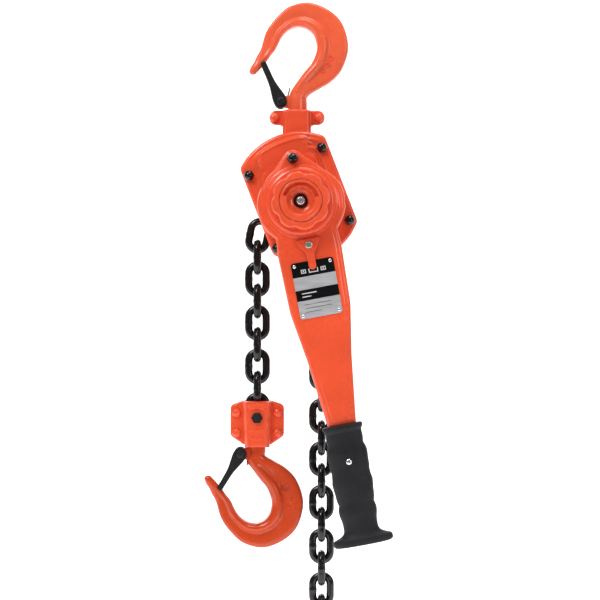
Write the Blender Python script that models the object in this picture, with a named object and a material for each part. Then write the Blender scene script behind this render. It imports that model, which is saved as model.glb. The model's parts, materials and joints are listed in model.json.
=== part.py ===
"""Ratchet lever hoist, 3 t class, one fall of 10 x 30 mm load chain.

World frame: origin inside the crown of the top hook's bowl, +Z up, front towards -Y.
Sizes below are in millimetres; MM turns them into Blender's metres.
"""
import math

import bmesh
import bpy
from mathutils import Matrix, Vector

MM = 0.001
GAP = 0.3                               # clearance between neighbouring pieces

# ---- load chain ----
WIRE = 9.2                              # 10 mm wire, less the room its flat facets need to roll
PITCH = 30.0
LINK_END = 12.0                         # radius of a link's round end, at the wire's centre
LINK_HALF = 20.0                        # link centre to the crown's wire centre
LOAD_X = -55.2                          # loaded strand
SLACK_X = 32.8                          # slack strand
FIRST_LINK_TILT = 11.0                  # degrees, where the stay pushes the strand out
FIRST_HANG_Z = -296.1                   # where the second link hangs in the first
SLACK_TOP_Z = -324.6
SLACK_UPPER = 9                         # links in each joined run
SLACK_LOWER = 8
SLACK_WIRE = 10.9                       # thick enough for the joined links to meet
RING_R = 15.0
RING_WIRE_R = 4.0

# ---- hooks ----
TOP_BOWL = (1.0, -25.0)
BOTTOM_BOWL = (-60.8, -656.0)

# ---- suspension ----
SUSPENSION = (-0.8, -159.0)
YOKE_DEPTH = 20.0
EAR_DEPTH = 7.0

# ---- frame: a round body cut by two parallel sides, leaning to the right ----
FRAME_CENTRE = (4.0, -238.0)
FRAME_LEAN = 21.1                       # degrees
FRAME_R = 93.0
FRAME_LOW_R = 83.5
FRAME_SIDE = 62.0
STAY_CENTRE = (2.4, -236.0)
STAY_SQUARE = 53.0                      # half the side of the square of stay bolts
PLATE_IN = 22.0
PLATE_OUT = 27.0
SHAFT = (4.2, -243.0)
SHEAVE_RIM = 36.0
SHEAVE_FLAT = 32.0
PAWL_R = 38.3                           # brake pawl's pivot from the shaft
PAWL_ANGLE = math.radians(135.0)

# ---- reduction: pinion to idler, then idler to load gear, 8.75 to 1 ----
GEAR_CENTRES = 38.5
SMALL_TEETH = 8
IDLER_TEETH = 28
LOAD_TEETH = 20
FINE_MODULE = 2.0 * GEAR_CENTRES / (SMALL_TEETH + IDLER_TEETH)
COARSE_MODULE = 2.0 * GEAR_CENTRES / (SMALL_TEETH + LOAD_TEETH)

# ---- lever ----
LEVER_LEAN = 10.5                       # degrees
LEVER_FRONT = -74.0
LEVER_REAR = -56.0
LEVER_WALL = 3.0
KNOB_R = 39.3
LOBES = 8
LOBE_DEPTH = 1.6                        # half the difference between a lobe and a valley
LOBE_PHASE = math.radians(272.0)

# ---- bottom block ----
BLOCK_X = -55.4
BLOCK_TOP = -513.5
BLOCK_BOTTOM = -576.5
CHAIN_PIN_Z = -535.9

PAINT = (0.83, 0.13, 0.035)
PAINT_DARK = (0.72, 0.10, 0.03)
BLACK = (0.015, 0.015, 0.017)
STEEL = (0.55, 0.55, 0.56)


# ---------------------------------------------------------------- helpers

def material(name, colour, roughness, metallic):
    mat = bpy.data.materials.new(name)
    mat.use_nodes = True
    shader = mat.node_tree.nodes["Principled BSDF"]
    shader.inputs["Base Color"].default_value = (*colour, 1.0)
    shader.inputs["Roughness"].default_value = roughness
    shader.inputs["Metallic"].default_value = metallic
    return mat


FINISHES = {
    "paint": (PAINT, 0.3, 0.0),
    "hook_paint": (PAINT_DARK, 0.35, 0.0),
    "black": (BLACK, 0.3, 0.3),
    "rubber": (BLACK, 0.8, 0.0),
    "steel": (STEEL, 0.35, 1.0),
}


def spot(x, y, z):
    return Vector((x * MM, y * MM, z * MM))


def to_object(name, bm, finish, at=(0, 0, 0), lean=0.0, sharp=38.0):
    """Turn a bmesh in millimetres into a named object with its own material."""
    bmesh.ops.remove_doubles(bm, verts=bm.verts, dist=1e-4)
    bmesh.ops.recalc_face_normals(bm, faces=bm.faces)
    bm.transform(Matrix.Scale(MM, 4))
    mesh = bpy.data.meshes.new(name)
    bm.to_mesh(mesh)
    bm.free()
    mesh.materials.append(material(name, *FINISHES[finish]))
    mesh.shade_smooth()
    mesh.set_sharp_from_angle(angle=math.radians(sharp))
    obj = bpy.data.objects.new(name, mesh)
    obj.location = spot(*at)
    obj.rotation_euler = (0.0, -math.radians(lean), 0.0)
    bpy.context.scene.collection.objects.link(obj)
    return obj


def combine(base, tools, operation="UNION"):
    """Join tools to base, or cut them from it, and keep one plain mesh."""
    for tool in tools:
        modifier = base.modifiers.new(operation, "BOOLEAN")
        modifier.operation = operation
        modifier.object = tool
        modifier.solver = "EXACT"
        bpy.context.view_layer.update()
        depsgraph = bpy.context.evaluated_depsgraph_get()
        mesh = bpy.data.meshes.new_from_object(base.evaluated_get(depsgraph))
        base.modifiers.clear()
        base.data = mesh
        bpy.data.objects.remove(tool)
    keep = base.data.materials[0]
    base.data.materials.clear()
    base.data.materials.append(keep)
    base.data.name = base.name
    return base


def rings_to_mesh(rings, closed):
    """Skin a row of equal rings; closed joins the last ring to the first, else both ends are capped."""
    bm = bmesh.new()
    loops = [[bm.verts.new(point) for point in ring] for ring in rings]
    pairs = list(zip(loops, loops[1:]))
    if closed:
        pairs.append((loops[-1], loops[0]))
    for low, high in pairs:
        for i in range(len(low)):
            j = (i + 1) % len(low)
            bm.faces.new((low[i], low[j], high[j], high[i]))
    if not closed:
        bm.faces.new(loops[0])
        bm.faces.new(reversed(loops[-1]))
    return bm


def turned(name, sections, finish, at=(0, 0, 0), lean=0.0, count=24, closed=False, phase=0.0):
    """A solid about the local Y axis. Each section is (y, radius) or (y, function of the angle)."""
    rings = []
    for y, radius in sections:
        ring = []
        for i in range(count):
            angle = phase + math.tau * i / count
            r = radius(angle) if callable(radius) else radius
            ring.append((r * math.cos(angle), y, r * math.sin(angle)))
        rings.append(ring)
    return to_object(name, rings_to_mesh(rings, closed), finish, at, lean)


def upright(name, sections, finish, at=(0, 0, 0), count=16):
    """A solid about the local Z axis; each section is (z, radius)."""
    rings = [[(r * math.cos(math.tau * i / count), r * math.sin(math.tau * i / count), z)
              for i in range(count)] for z, r in sections]
    return to_object(name, rings_to_mesh(rings, False), finish, at)


def rounded(corners, step=30.0):
    """An outline from corners (x, z, radius), each radius drawn as an arc."""
    outline = []
    for i, (x, z, radius) in enumerate(corners):
        here = Vector((x, z))
        back = (Vector(corners[i - 1][:2]) - here).normalized()
        ahead = (Vector(corners[(i + 1) % len(corners)][:2]) - here).normalized()
        half = back.angle(ahead) / 2.0
        if radius <= 0.0 or half > math.radians(89.0):
            outline.append((x, z))
            continue
        centre = here + (back + ahead).normalized() * (radius / math.sin(half))
        start = here + back * (radius / math.tan(half)) - centre
        sweep = math.pi - 2.0 * half
        turn = math.copysign(sweep, back.x * ahead.y - back.y * ahead.x) * -1.0
        steps = max(1, round(math.degrees(sweep) / step))
        for k in range(steps + 1):
            a = turn * k / steps
            outline.append((centre.x + start.x * math.cos(a) - start.y * math.sin(a),
                            centre.y + start.x * math.sin(a) + start.y * math.cos(a)))
    return outline


def circle(x, z, radius, count=16):
    return [(x + radius * math.cos(math.tau * i / count), z + radius * math.sin(math.tau * i / count))
            for i in range(count)]


def flat(bm, outline, holes, y):
    """Fill an outline with holes in the plane of one y."""
    edges = []
    for loop in [outline] + list(holes):
        verts = [bm.verts.new((x, y, z)) for x, z in loop]
        edges += [bm.edges.new((verts[i - 1], verts[i])) for i in range(len(verts))]
    bmesh.ops.triangle_fill(bm, use_beauty=True, edges=edges)


def plate(name, outline, y_a, y_b, finish, holes=(), at=(0, 0, 0), lean=0.0):
    """An outline in XZ, with holes, extruded from y_a to y_b."""
    bm = bmesh.new()
    flat(bm, outline, holes, y_a)
    grown = bmesh.ops.extrude_face_region(bm, geom=bm.faces[:])
    moved = [item for item in grown["geom"] if isinstance(item, bmesh.types.BMVert)]
    bmesh.ops.translate(bm, verts=moved, vec=(0.0, y_b - y_a, 0.0))
    return to_object(name, bm, finish, at, lean)


def box(name, low, high, finish="steel", at=(0, 0, 0), lean=0.0):
    corners = [(low[0], low[2]), (high[0], low[2]), (high[0], high[2]), (low[0], high[2])]
    return plate(name, corners, low[1], high[1], finish, at=at, lean=lean)


def smooth_path(points, per_span):
    """Catmull-Rom curve through tuples of any length."""
    result = []
    for i in range(len(points) - 1):
        a = points[max(i - 1, 0)]
        b = points[i]
        c = points[i + 1]
        d = points[min(i + 2, len(points) - 1)]
        for k in range(per_span):
            t = k / per_span
            result.append(tuple(
                0.5 * (2 * q + (r - p) * t + (2 * p - 5 * q + 4 * r - s) * t * t
                       + (3 * q - p - 3 * r + s) * t ** 3)
                for p, q, r, s in zip(a, b, c, d)))
    result.append(points[-1])
    return result


# ---------------------------------------------------------------- hooks

# Inner edge x, z, outer edge x, z, thickness and bead, from the shank to the nose, about the bowl's
# centre. Bead is 0 on the round shank and 1 where the section has a bead along its inner edge.
HOOK_STATIONS = [
    (-9.5, -60.0, 17.0, -67.0, 26.0, 0.2),
    (0.0, -46.0, 29.0, -59.0, 27.0, 0.7),
    (9.0, -34.0, 45.0, -50.0, 27.0, 1.0),
    (18.0, -23.0, 58.5, -35.5, 27.0, 1.0),
    (24.0, -8.0, 67.5, -13.0, 27.0, 1.0),
    (24.5, 3.0, 68.0, 8.0, 27.0, 1.0),
    (21.0, 14.0, 59.0, 33.0, 27.0, 1.0),
    (13.0, 21.5, 40.0, 49.0, 27.0, 1.0),
    (2.0, 25.0, 14.0, 59.5, 27.0, 1.0),
    (-8.0, 23.5, -14.0, 53.0, 26.0, 1.0),
    (-17.0, 17.5, -33.0, 36.0, 24.0, 0.9),
    (-24.0, 9.0, -45.0, 18.0, 21.0, 0.7),
    (-31.0, -5.0, -51.0, -3.0, 18.0, 0.5),
    (-38.0, -14.0, -57.0, -14.0, 15.6, 0.3),
    (-43.6, -22.0, -61.2, -22.5, 14.0, 0.1),
    (-50.5, -30.0, -64.4, -27.0, 13.0, 0.0),
    (-58.6, -39.6, -67.6, -35.0, 9.0, 0.0),
]

# Share of the width from the inner edge, and of the half thickness.
BEAD_SECTION = [(0.0, 0.0), (0.04, 0.55), (0.16, 0.93), (0.30, 0.98), (0.42, 0.72),
                (0.56, 0.66), (0.84, 0.62), (0.96, 0.42), (1.0, 0.0)]


def hook_ring(station, flip, centre):
    ix, iz, ox, oz, thick, bead = station
    ring = []
    last = len(BEAD_SECTION) - 1
    order = list(range(last)) + [-k for k in range(last, 0, -1)]
    for k in order:
        side = 1.0 if k >= 0 else -1.0
        across, depth = BEAD_SECTION[abs(k)]
        angle = math.pi * abs(k) / last
        across = across * bead + (0.5 - 0.5 * math.cos(angle)) * (1.0 - bead)
        depth = depth * bead + math.sin(angle) * (1.0 - bead)
        x = ix + (ox - ix) * across
        z = iz + (oz - iz) * across
        if abs(k) == last:
            side = 1.0
        ring.append((centre[0] + x, side * depth * thick / 2.0, centre[1] + flip * z))
    return ring


def hook(name, centre, flip, shank, neck_profile, boss):
    """A forged hook. neck_profile gives (distance beyond the shank's shoulder, radius) of its head."""
    left, right, shoulder = shank
    stations = [
        (left, -shoulder, right, -shoulder, right - left, 0.0),
        (left, -78.0, right, -78.0, right - left, 0.0),
        (left, -72.0, right, -72.5, right - left, 0.0),
    ] + HOOK_STATIONS
    rings = [hook_ring(station, flip, centre) for station in smooth_path(stations, 1)]
    body = to_object(name, rings_to_mesh(rings, False), "hook_paint")
    axis_x = centre[0] + (left + right) / 2.0
    base = centre[1] - flip * (shoulder - 1.0)
    profile = [(base, neck_profile[0][1])] + [(base - flip * (1.0 + d), r) for d, r in neck_profile]
    neck = upright("neck", profile, "hook_paint", at=(axis_x, 0, 0), count=12)
    bx, bz = centre[0] + boss[0], centre[1] + flip * boss[1]
    root = centre[0] + left + 6.0
    lug = plate("lug", rounded([(bx - 6.5, bz - 6.5, 6.4), (root, bz - 8.5, 0), (root, bz + 8.5, 0),
                                (bx - 6.5, bz + 6.5, 6.4)]),
                -7.0, 7.0, "hook_paint", holes=[circle(bx, bz, 3.0, 10)])
    return combine(body, [neck, lug])


def latch(name, pivot, tip):
    """A pressed latch: two cheeks on the pin and over the nose, joined by a web between."""
    length = math.dist(pivot, tip)
    local = [(-9.0, -9.0, 8.8), (9.0, -9.0, 8.8), (8.6, 8.0, 12.0), (4.6, length * 0.55, 0), (4.0, length, 3.6),
             (-4.0, length, 3.6), (-5.0, length * 0.5, 0), (-9.0, 6.0, 8.0)]
    body = plate(name, rounded(local), -10.2, 10.2, "black", holes=[circle(0, 0, 3.3, 10)])
    boss_slot = box("slot", (-12, -7.6, -12), (12, 7.6, 17.0))
    nose_slot = box("slot", (-12, -7.9, length - 15.0), (12, 7.9, length + 5.0))
    combine(body, [boss_slot, nose_slot], "DIFFERENCE")
    body.location = spot(pivot[0], 0, pivot[1])
    heading = math.atan2(tip[0] - pivot[0], tip[1] - pivot[1])
    body.rotation_euler = (0.0, heading, 0.0)
    return body


def latch_pin(name, pivot):
    profile = [(-12.0, 4.4), (-10.6, 4.4), (-10.6, 2.6), (10.6, 2.6), (10.6, 4.4), (12.0, 4.4)]
    return turned(name, profile, "steel", at=(pivot[0], 0, pivot[1]), count=10)


TOP_PIVOT = (-24.3, -77.4)
TOP_LATCH_TIP = (-49.0, -22.5)
BOTTOM_PIVOT = (-17.8, -70.0)
BOTTOM_LATCH_TIP = (-47.3, -20.5)
TOP_NECK = [(0.0, 8.5), (10.0, 8.5), (10.0, 12.5), (17.5, 12.5), (18.5, 11.5)]
BOTTOM_NECK = [(0.0, 7.5), (10.3, 7.5), (10.3, 10.5), (16.8, 10.5), (17.8, 9.5)]


def hooks():
    hook("top_hook", TOP_BOWL, 1.0, (-14.0, 12.0, 88.6), TOP_NECK, TOP_PIVOT)
    pivot = (TOP_BOWL[0] + TOP_PIVOT[0], TOP_BOWL[1] + TOP_PIVOT[1])
    tip = (TOP_BOWL[0] + TOP_LATCH_TIP[0], TOP_BOWL[1] + TOP_LATCH_TIP[1])
    latch("top_latch", pivot, tip)
    latch_pin("top_latch_pin", pivot)
    hook("bottom_hook", BOTTOM_BOWL, -1.0, (-6.1, 16.9, 79.2), BOTTOM_NECK, BOTTOM_PIVOT)
    pivot = (BOTTOM_BOWL[0] + BOTTOM_PIVOT[0], BOTTOM_BOWL[1] - BOTTOM_PIVOT[1])
    tip = (BOTTOM_BOWL[0] + BOTTOM_LATCH_TIP[0], BOTTOM_BOWL[1] - BOTTOM_LATCH_TIP[1])
    latch("bottom_latch", pivot, tip)
    latch_pin("bottom_latch_pin", pivot)


# ---------------------------------------------------------------- yoke

def dome_rivet(name, x, z, reach, radius=6.3):
    """A rivet through both halves with a dome at each end."""
    profile = [(-reach - 4.0, 2.6), (-reach - 2.4, 5.2), (-reach, radius), (-reach, 3.2),
               (reach, 3.2), (reach, radius), (reach + 2.4, 5.2), (reach + 4.0, 2.6)]
    return turned(name, profile, "paint", at=(x, 0, z), count=10)


YOKE_RIVETS = {"top_yoke_rivet_left": (-31.7, -124.6), "top_yoke_rivet_right": (29.4, -124.6)}


def yoke_half(name, side):
    """One half of the top yoke; side is -1 for the front and +1 for the rear."""
    y_in = side * GAP / 2.0
    ears = rounded([(-38.7, -134.0, 5.0), (-38.7, -115.0, 5.0), (37.1, -115.0, 5.0), (37.1, -134.0, 5.0),
                    (16.5, -134.0, 6.0), (12.5, -146.0, 0), (-14.0, -146.0, 0), (-18.5, -134.0, 6.0)])
    holes = [circle(x, z, 3.5, 10) for x, z in YOKE_RIVETS.values()]
    body = plate(name, ears, y_in, side * EAR_DEPTH, "paint", holes=holes)
    block = plate("block", rounded([(-17.6, -143.0, 3.0), (-17.6, -114.3, 2.0), (15.4, -114.3, 2.0),
                                    (15.4, -143.0, 3.0)]), y_in, side * YOKE_DEPTH, "paint")
    tang = plate("tang", rounded([(-13.0, -172.0, 11.0), (-13.0, -140.0, 0), (11.5, -140.0, 0),
                                  (11.5, -172.0, 11.0)]), y_in, side * (YOKE_DEPTH - 1.0), "paint",
                 holes=[circle(SUSPENSION[0], SUSPENSION[1], 6.5, 14)])
    combine(body, [block, tang])
    room = upright("room", [(-113.0, 8.5 + GAP), (-123.3, 8.5 + GAP), (-123.3, 12.5 + GAP),
                            (-132.5, 12.5 + GAP)], "steel", count=16)
    return combine(body, [room], "DIFFERENCE")


def yoke():
    yoke_half("top_yoke_front", -1.0)
    yoke_half("top_yoke_rear", 1.0)
    for name, (x, z) in YOKE_RIVETS.items():
        dome_rivet(name, x, z, EAR_DEPTH + GAP)
    turned("suspension_pin", [(-26.6, 5.2), (-26.0, 6.2), (26.0, 6.2), (26.6, 5.2)], "steel",
           at=(SUSPENSION[0], 0, SUSPENSION[1]), count=14)


# ---------------------------------------------------------------- frame

def in_frame(point):
    """A world XZ point in the leaning frame's own axes."""
    a = math.radians(FRAME_LEAN)
    x, z = point[0] - FRAME_CENTRE[0], point[1] - FRAME_CENTRE[1]
    return (x * math.cos(a) + z * math.sin(a), -x * math.sin(a) + z * math.cos(a))


def frame_outline(inset=0.0, corner=11.0):
    """Two round ends, the lower one nearer, and two straight parallel sides."""
    side = FRAME_SIDE - inset
    corners = []
    for base, full in ((0.0, FRAME_R), (180.0, FRAME_LOW_R)):
        radius = full - inset
        edge = math.degrees(math.asin(side / radius))
        angles = [base - edge] + [base - edge + 2.0 * edge * k / 6.0 for k in range(1, 6)] + [base + edge]
        for angle in angles:
            a = math.radians(angle)
            r = corner if angle in (angles[0], angles[-1]) else 0.0
            corners.append((radius * math.sin(a), radius * math.cos(a), r))
    return rounded(corners)


AT_FRAME = (FRAME_CENTRE[0], 0.0, FRAME_CENTRE[1])
STAY_X, STAY_Z = in_frame(STAY_CENTRE)
STAYS = {
    "upper_right": (STAY_X + STAY_SQUARE, STAY_Z + STAY_SQUARE),
    "upper_left": (STAY_X - STAY_SQUARE, STAY_Z + STAY_SQUARE),
    "lower_right": (STAY_X + STAY_SQUARE, STAY_Z - STAY_SQUARE),
    "lower_left": (STAY_X - STAY_SQUARE, STAY_Z - STAY_SQUARE),
}
SHAFT_IN_FRAME = in_frame(SHAFT)
PIN_IN_FRAME = in_frame(SUSPENSION)
COVER_BACK = -PLATE_OUT - GAP
COVER_FACE = COVER_BACK - 2.7
CASE_BACK = PLATE_OUT + GAP
CASE_FACE = CASE_BACK + 2.7
STAY_R = 5.0


def stay_holes(radius=STAY_R + GAP):
    return [circle(x, z, radius, 12) for x, z in STAYS.values()]


def side_plates():
    sx, sz = SHAFT_IN_FRAME
    for name, a, b in (("front_side_plate", -PLATE_IN, -PLATE_OUT), ("rear_side_plate", PLATE_IN, PLATE_OUT)):
        holes = stay_holes() + [circle(sx, sz, 19.0, 20), circle(*PIN_IN_FRAME, 6.5, 14)]
        if a > 0:
            holes += [circle(sx, sz + s * GEAR_CENTRES, 5.3, 12) for s in (-1.0, 1.0)]
        plate(name, frame_outline(), a, b, "paint", holes=holes, at=AT_FRAME, lean=FRAME_LEAN)


def in_world(x, z):
    a = math.radians(FRAME_LEAN)
    return (FRAME_CENTRE[0] + x * math.cos(a) - z * math.sin(a), 0.0,
            FRAME_CENTRE[1] + x * math.sin(a) + z * math.cos(a))


def stays():
    reach = CASE_FACE + GAP
    for corner, (x, z) in STAYS.items():
        at = in_world(x, z)
        profile = [(reach + 3.6, 4.0), (reach, 7.6), (reach, STAY_R),
                   (PLATE_IN - GAP, STAY_R), (PLATE_IN - GAP, 7.7), (-PLATE_IN + GAP, 7.7),
                   (-PLATE_IN + GAP, STAY_R), (COVER_FACE - 0.1, STAY_R), (COVER_FACE - 0.1, 3.9),
                   (COVER_FACE - 5.4, 3.9)]
        turned("stay_bolt_" + corner, profile, "steel", at=at, count=12)
        base = COVER_FACE - GAP
        nut = [(base - 6.2, 4.3), (base, 4.3), (base, 7.0), (base - 4.0, 7.0), (base - 7.6, 5.6),
               (base - 9.8, 2.4)]
        turned("cap_nut_" + corner, nut, "black", at=at, count=12)


PAD_RISE = 4.7
# The pad's corners: out from the cup at the left, round the upper end, and back to the cup at the right.
PAD = [(-30.0, -35.0), (-45.0, 10.0), (-41.5, 53.0), (-30.0, 63.0), (-8.0, 76.0), (24.0, 77.0), (30.0, 70.0),
       (34.0, 30.0), (30.0, -35.0)]


def front_cover():
    """Flange, raised pad and the round cup that the brake turns in."""
    sx, sz = SHAFT_IN_FRAME
    body = plate("front_cover", frame_outline(1.0, 10.0), COVER_BACK, COVER_FACE, "paint",
                 holes=stay_holes() + [circle(sx, sz, 45.0, 24)], at=AT_FRAME, lean=FRAME_LEAN)
    cup = [(COVER_BACK - 0.1, 43.0), (-46.0, 43.0), (-46.0, 20.5), (-50.0, 20.5), (-50.0, 48.0),
           (-38.0, 56.0), (COVER_FACE + 0.8, 57.5)]
    dome = turned("dome", cup, "paint", at=in_world(sx, sz), lean=FRAME_LEAN, count=24, closed=True)
    pad = plate("pad", PAD, COVER_BACK, COVER_FACE - PAD_RISE, "paint", at=AT_FRAME, lean=FRAME_LEAN)
    combine(body, [pad])
    centre = Vector((sum(x for x, _ in PAD), sum(z for _, z in PAD))) / len(PAD)
    inside = [tuple(centre + (Vector(corner) - centre) * 0.93) for corner in PAD]
    hollow = plate("hollow", inside, COVER_BACK + 1.0, COVER_FACE - PAD_RISE + 2.7, "paint", at=AT_FRAME,
                   lean=FRAME_LEAN)
    cup_room = turned("cup_room", [(COVER_BACK + 1.0, 43.0), (-45.9, 43.0)], "paint", at=in_world(sx, sz),
                      lean=FRAME_LEAN, count=24)
    combine(body, [hollow, cup_room], "DIFFERENCE")
    return combine(body, [dome])


def gear_case():
    """Cup over the reduction gears, with a flange on the rear plate."""
    sx, sz = SHAFT_IN_FRAME
    holes = stay_holes()
    body = plate("gear_case", frame_outline(1.0, 10.0), CASE_BACK, CASE_FACE, "paint",
                 holes=holes + [slot_outline(sx, sz, 36.0)], at=AT_FRAME, lean=FRAME_LEAN)
    inner = [(x - sx, z - sz) for x, z in slot_outline(sx, sz, 35.5)]
    outer = [(x - sx, z - sz) for x, z in slot_outline(sx, sz, 39.5)]
    foot = [(x - sx, z - sz) for x, z in slot_outline(sx, sz, 40.5)]
    rings = [[(x, y, z) for x, z in shape] for y, shape in (
        (57.0, inner), (CASE_BACK, inner), (CASE_BACK, foot), (CASE_FACE, foot), (CASE_FACE + 3.0, outer),
        (56.0, outer))]
    rings.append([(x * 0.9, 61.0, z * 0.95) for x, z in outer])
    cup = to_object("cup", rings_to_mesh(rings, False), "paint", in_world(sx, sz), FRAME_LEAN)
    combine(body, [cup])
    bearings = [turned("bearing", [(52.4, r), (58.5, r)], "paint", at=in_world(sx, sz + s * GEAR_CENTRES),
                       count=10) for s, r in ((-1.0, 8.0), (0.0, 9.0), (1.0, 8.0))]
    combine(body, bearings)
    seats = [turned("seat", [(50.0, r), (56.0, r)], "paint", at=in_world(sx, sz + s * GEAR_CENTRES),
                    count=10) for s, r in ((-1.0, 4.4), (0.0, 5.4), (1.0, 4.4))]
    return combine(body, seats, "DIFFERENCE")


def slot_outline(x, z, radius, half=GEAR_CENTRES - 1.5, count=8):
    """A stadium standing along the frame's own length."""
    top = [(x + radius * math.cos(math.pi * k / count), z + half + radius * math.sin(math.pi * k / count))
           for k in range(count + 1)]
    low = [(x - radius * math.cos(math.pi * k / count), z - half - radius * math.sin(math.pi * k / count))
           for k in range(count + 1)]
    return top + low


def chain_guide():
    """Guide block between the plates, under the sheave, which parts the two strands."""
    arc_r = SHEAVE_RIM + 2.5
    shape = [(arc_r * math.sin(math.radians(a)), -arc_r * math.cos(math.radians(a))) for a in range(-30, 20, 12)]
    shape += [(13.0, -60.0), (-12.0, -56.0)]
    plate("chain_guide", shape, -PLATE_IN + GAP, PLATE_IN - GAP, "steel", at=(SHAFT[0], 0.0, SHAFT[1]))


# ---------------------------------------------------------------- drive

def tooth_form(teeth, module, tip=0.62, root=1.1, share=0.34):
    """Radius against angle for slim straight-sided teeth, sampled four times a tooth."""
    pitch_r = teeth * module / 2.0
    half = math.pi / teeth
    points = []
    for k in range(teeth):
        mid = math.tau * k / teeth
        for at, r in ((-0.72, -root), (-share, tip), (share, tip), (0.72, -root)):
            points.append((pitch_r + r * module, mid + at * half))
    return points


def turned_form(form, phase):
    return [(r, angle + phase) for r, angle in form]


def gear(name, layers, finish, at, lean, bore=None):
    """Stack of toothed or round layers on one axis: each is (y0, y1, form or radius)."""
    parts = []
    for k, (y0, y1, form) in enumerate(layers):
        if isinstance(form, list):
            holes = [circle(0, 0, bore, 16)] if bore else []
            outline = [(r * math.cos(a), r * math.sin(a)) for r, a in form]
            parts.append(plate(name if k == 0 else "layer", outline, y0, y1, finish, holes, at, lean))
        elif bore:
            parts.append(turned(name if k == 0 else "layer", [(y0, bore), (y0, form), (y1, form), (y1, bore)],
                                finish, at, lean, 16, closed=True))
        else:
            parts.append(turned(name if k == 0 else "layer", [(y0, form), (y1, form)], finish, at, lean, 12))
    return combine(parts[0], parts[1:])


def drive_train():
    sx, sz = SHAFT_IN_FRAME
    axis = in_world(sx, sz)

    def pockets(angle):
        """Four flat pocket floors on a round rim."""
        reach = math.cos((angle % (math.pi / 2.0)) - math.pi / 4.0)
        return min(SHEAVE_RIM, SHEAVE_FLAT / reach)

    sheave = [(-21.0, 9.5), (-21.0, SHEAVE_RIM), (-18.0, SHEAVE_RIM), (-17.6, pockets), (-7.0, pockets),
              (-6.6, 24.0), (6.6, 24.0), (7.0, pockets), (17.6, pockets), (18.0, SHEAVE_RIM),
              (21.0, SHEAVE_RIM), (21.0, 17.0), (28.5, 17.0), (28.5, 9.5)]
    turned("load_sheave", sheave, "steel", axis, FRAME_LEAN, 24, closed=True)
    gear("load_gear", [(31.0, 39.5, tooth_form(LOAD_TEETH, COARSE_MODULE, 0.55, 1.1, 0.31))], "steel", axis, FRAME_LEAN, 9.5)
    for name, s in (("idler_gear_upper", 1.0), ("idler_gear_lower", -1.0)):
        at = in_world(sx, sz + s * GEAR_CENTRES)
        inward = -s * math.pi / 2.0
        small = turned_form(tooth_form(SMALL_TEETH, COARSE_MODULE), inward + math.pi / SMALL_TEETH)
        large = turned_form(tooth_form(IDLER_TEETH, FINE_MODULE), inward + math.pi / IDLER_TEETH)
        gear(name, [(43.0, 49.0, large), (30.5, 43.5, small), (22.6, 31.0, 4.8), (48.5, 55.5, 4.0)],
             "steel", at, FRAME_LEAN)
    pinion = turned_form(tooth_form(SMALL_TEETH, FINE_MODULE), math.pi / 2.0)
    shaft = gear("pinion_shaft", [(42.0, 50.5, pinion), (50.0, 55.5, 5.0)], "steel", axis, FRAME_LEAN)
    rod = turned("rod", [(42.5, 5.0), (41.0, 7.0), (-60.0, 7.0), (-60.0, 5.5), (-101.0, 5.5), (-103.0, 4.4)],
                 "steel", axis, FRAME_LEAN, 12)
    combine(shaft, [rod])


def ratchet_outline(teeth=12, outer=33.0, root=28.8):
    points = []
    for k in range(teeth):
        a = math.tau * k / teeth
        points.append((outer * math.cos(a), outer * math.sin(a)))
        b = a + math.tau / teeth * 0.16
        points.append((root * math.cos(b), root * math.sin(b)))
        c = a + math.tau / teeth * 0.6
        mid = (root + outer) / 2.0
        points.append((mid * math.cos(c), mid * math.sin(c)))
    return points


def brake():
    sx, sz = SHAFT_IN_FRAME
    axis = in_world(sx, sz)
    hub = [(-28.6, 7.3), (-28.6, 12.0), (-31.0, 12.0), (-31.0, 28.0), (-34.5, 28.0), (-34.5, 11.0), (-42.5, 11.0),
           (-42.5, 7.3)]
    turned("brake_hub", hub, "steel", axis, FRAME_LEAN, 20, closed=True)
    plate("ratchet_disc", ratchet_outline(), -41.6, -35.2, "steel", holes=[circle(0, 0, 11.5, 16)],
          at=axis, lean=FRAME_LEAN)
    pawl_at = in_world(sx + PAWL_R * math.cos(PAWL_ANGLE), sz + PAWL_R * math.sin(PAWL_ANGLE))
    pawl = rounded([(-3.4, -3.3, 3.0), (2.0, -3.4, 0.0), (9.0, -5.8, 0.0), (9.6, -3.4, 0.0), (2.0, 3.3, 0.0),
                    (-3.4, 3.3, 3.0)])
    plate("brake_pawl", pawl, -41.4, -35.4, "steel", at=pawl_at,
          lean=FRAME_LEAN + math.degrees(PAWL_ANGLE) - 90.0)


# ---------------------------------------------------------------- lever

AT_LEVER = (SHAFT[0], 0.0, SHAFT[1])


def lever_outline(inset=0.0):
    """Round head round the shaft and a long tapering arm, down the lever's own -Z."""
    head = 60.5 - inset
    corners = []
    for angle in range(-50, 231, 20):
        a = math.radians(angle)
        corners.append((head * math.cos(a), head * math.sin(a), 0.0))
    left = [(-43.5 + inset, -66.0, 20.0), (-41.3 + inset, -146.0, 60.0), (-30.0 + inset, -215.0, 0.0),
            (-19.0 + inset, -303.0 + inset, 0.0)]
    right = [(-x, z, r) for x, z, r in reversed(left)]
    return rounded(corners + left + right, 20.0)


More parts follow.
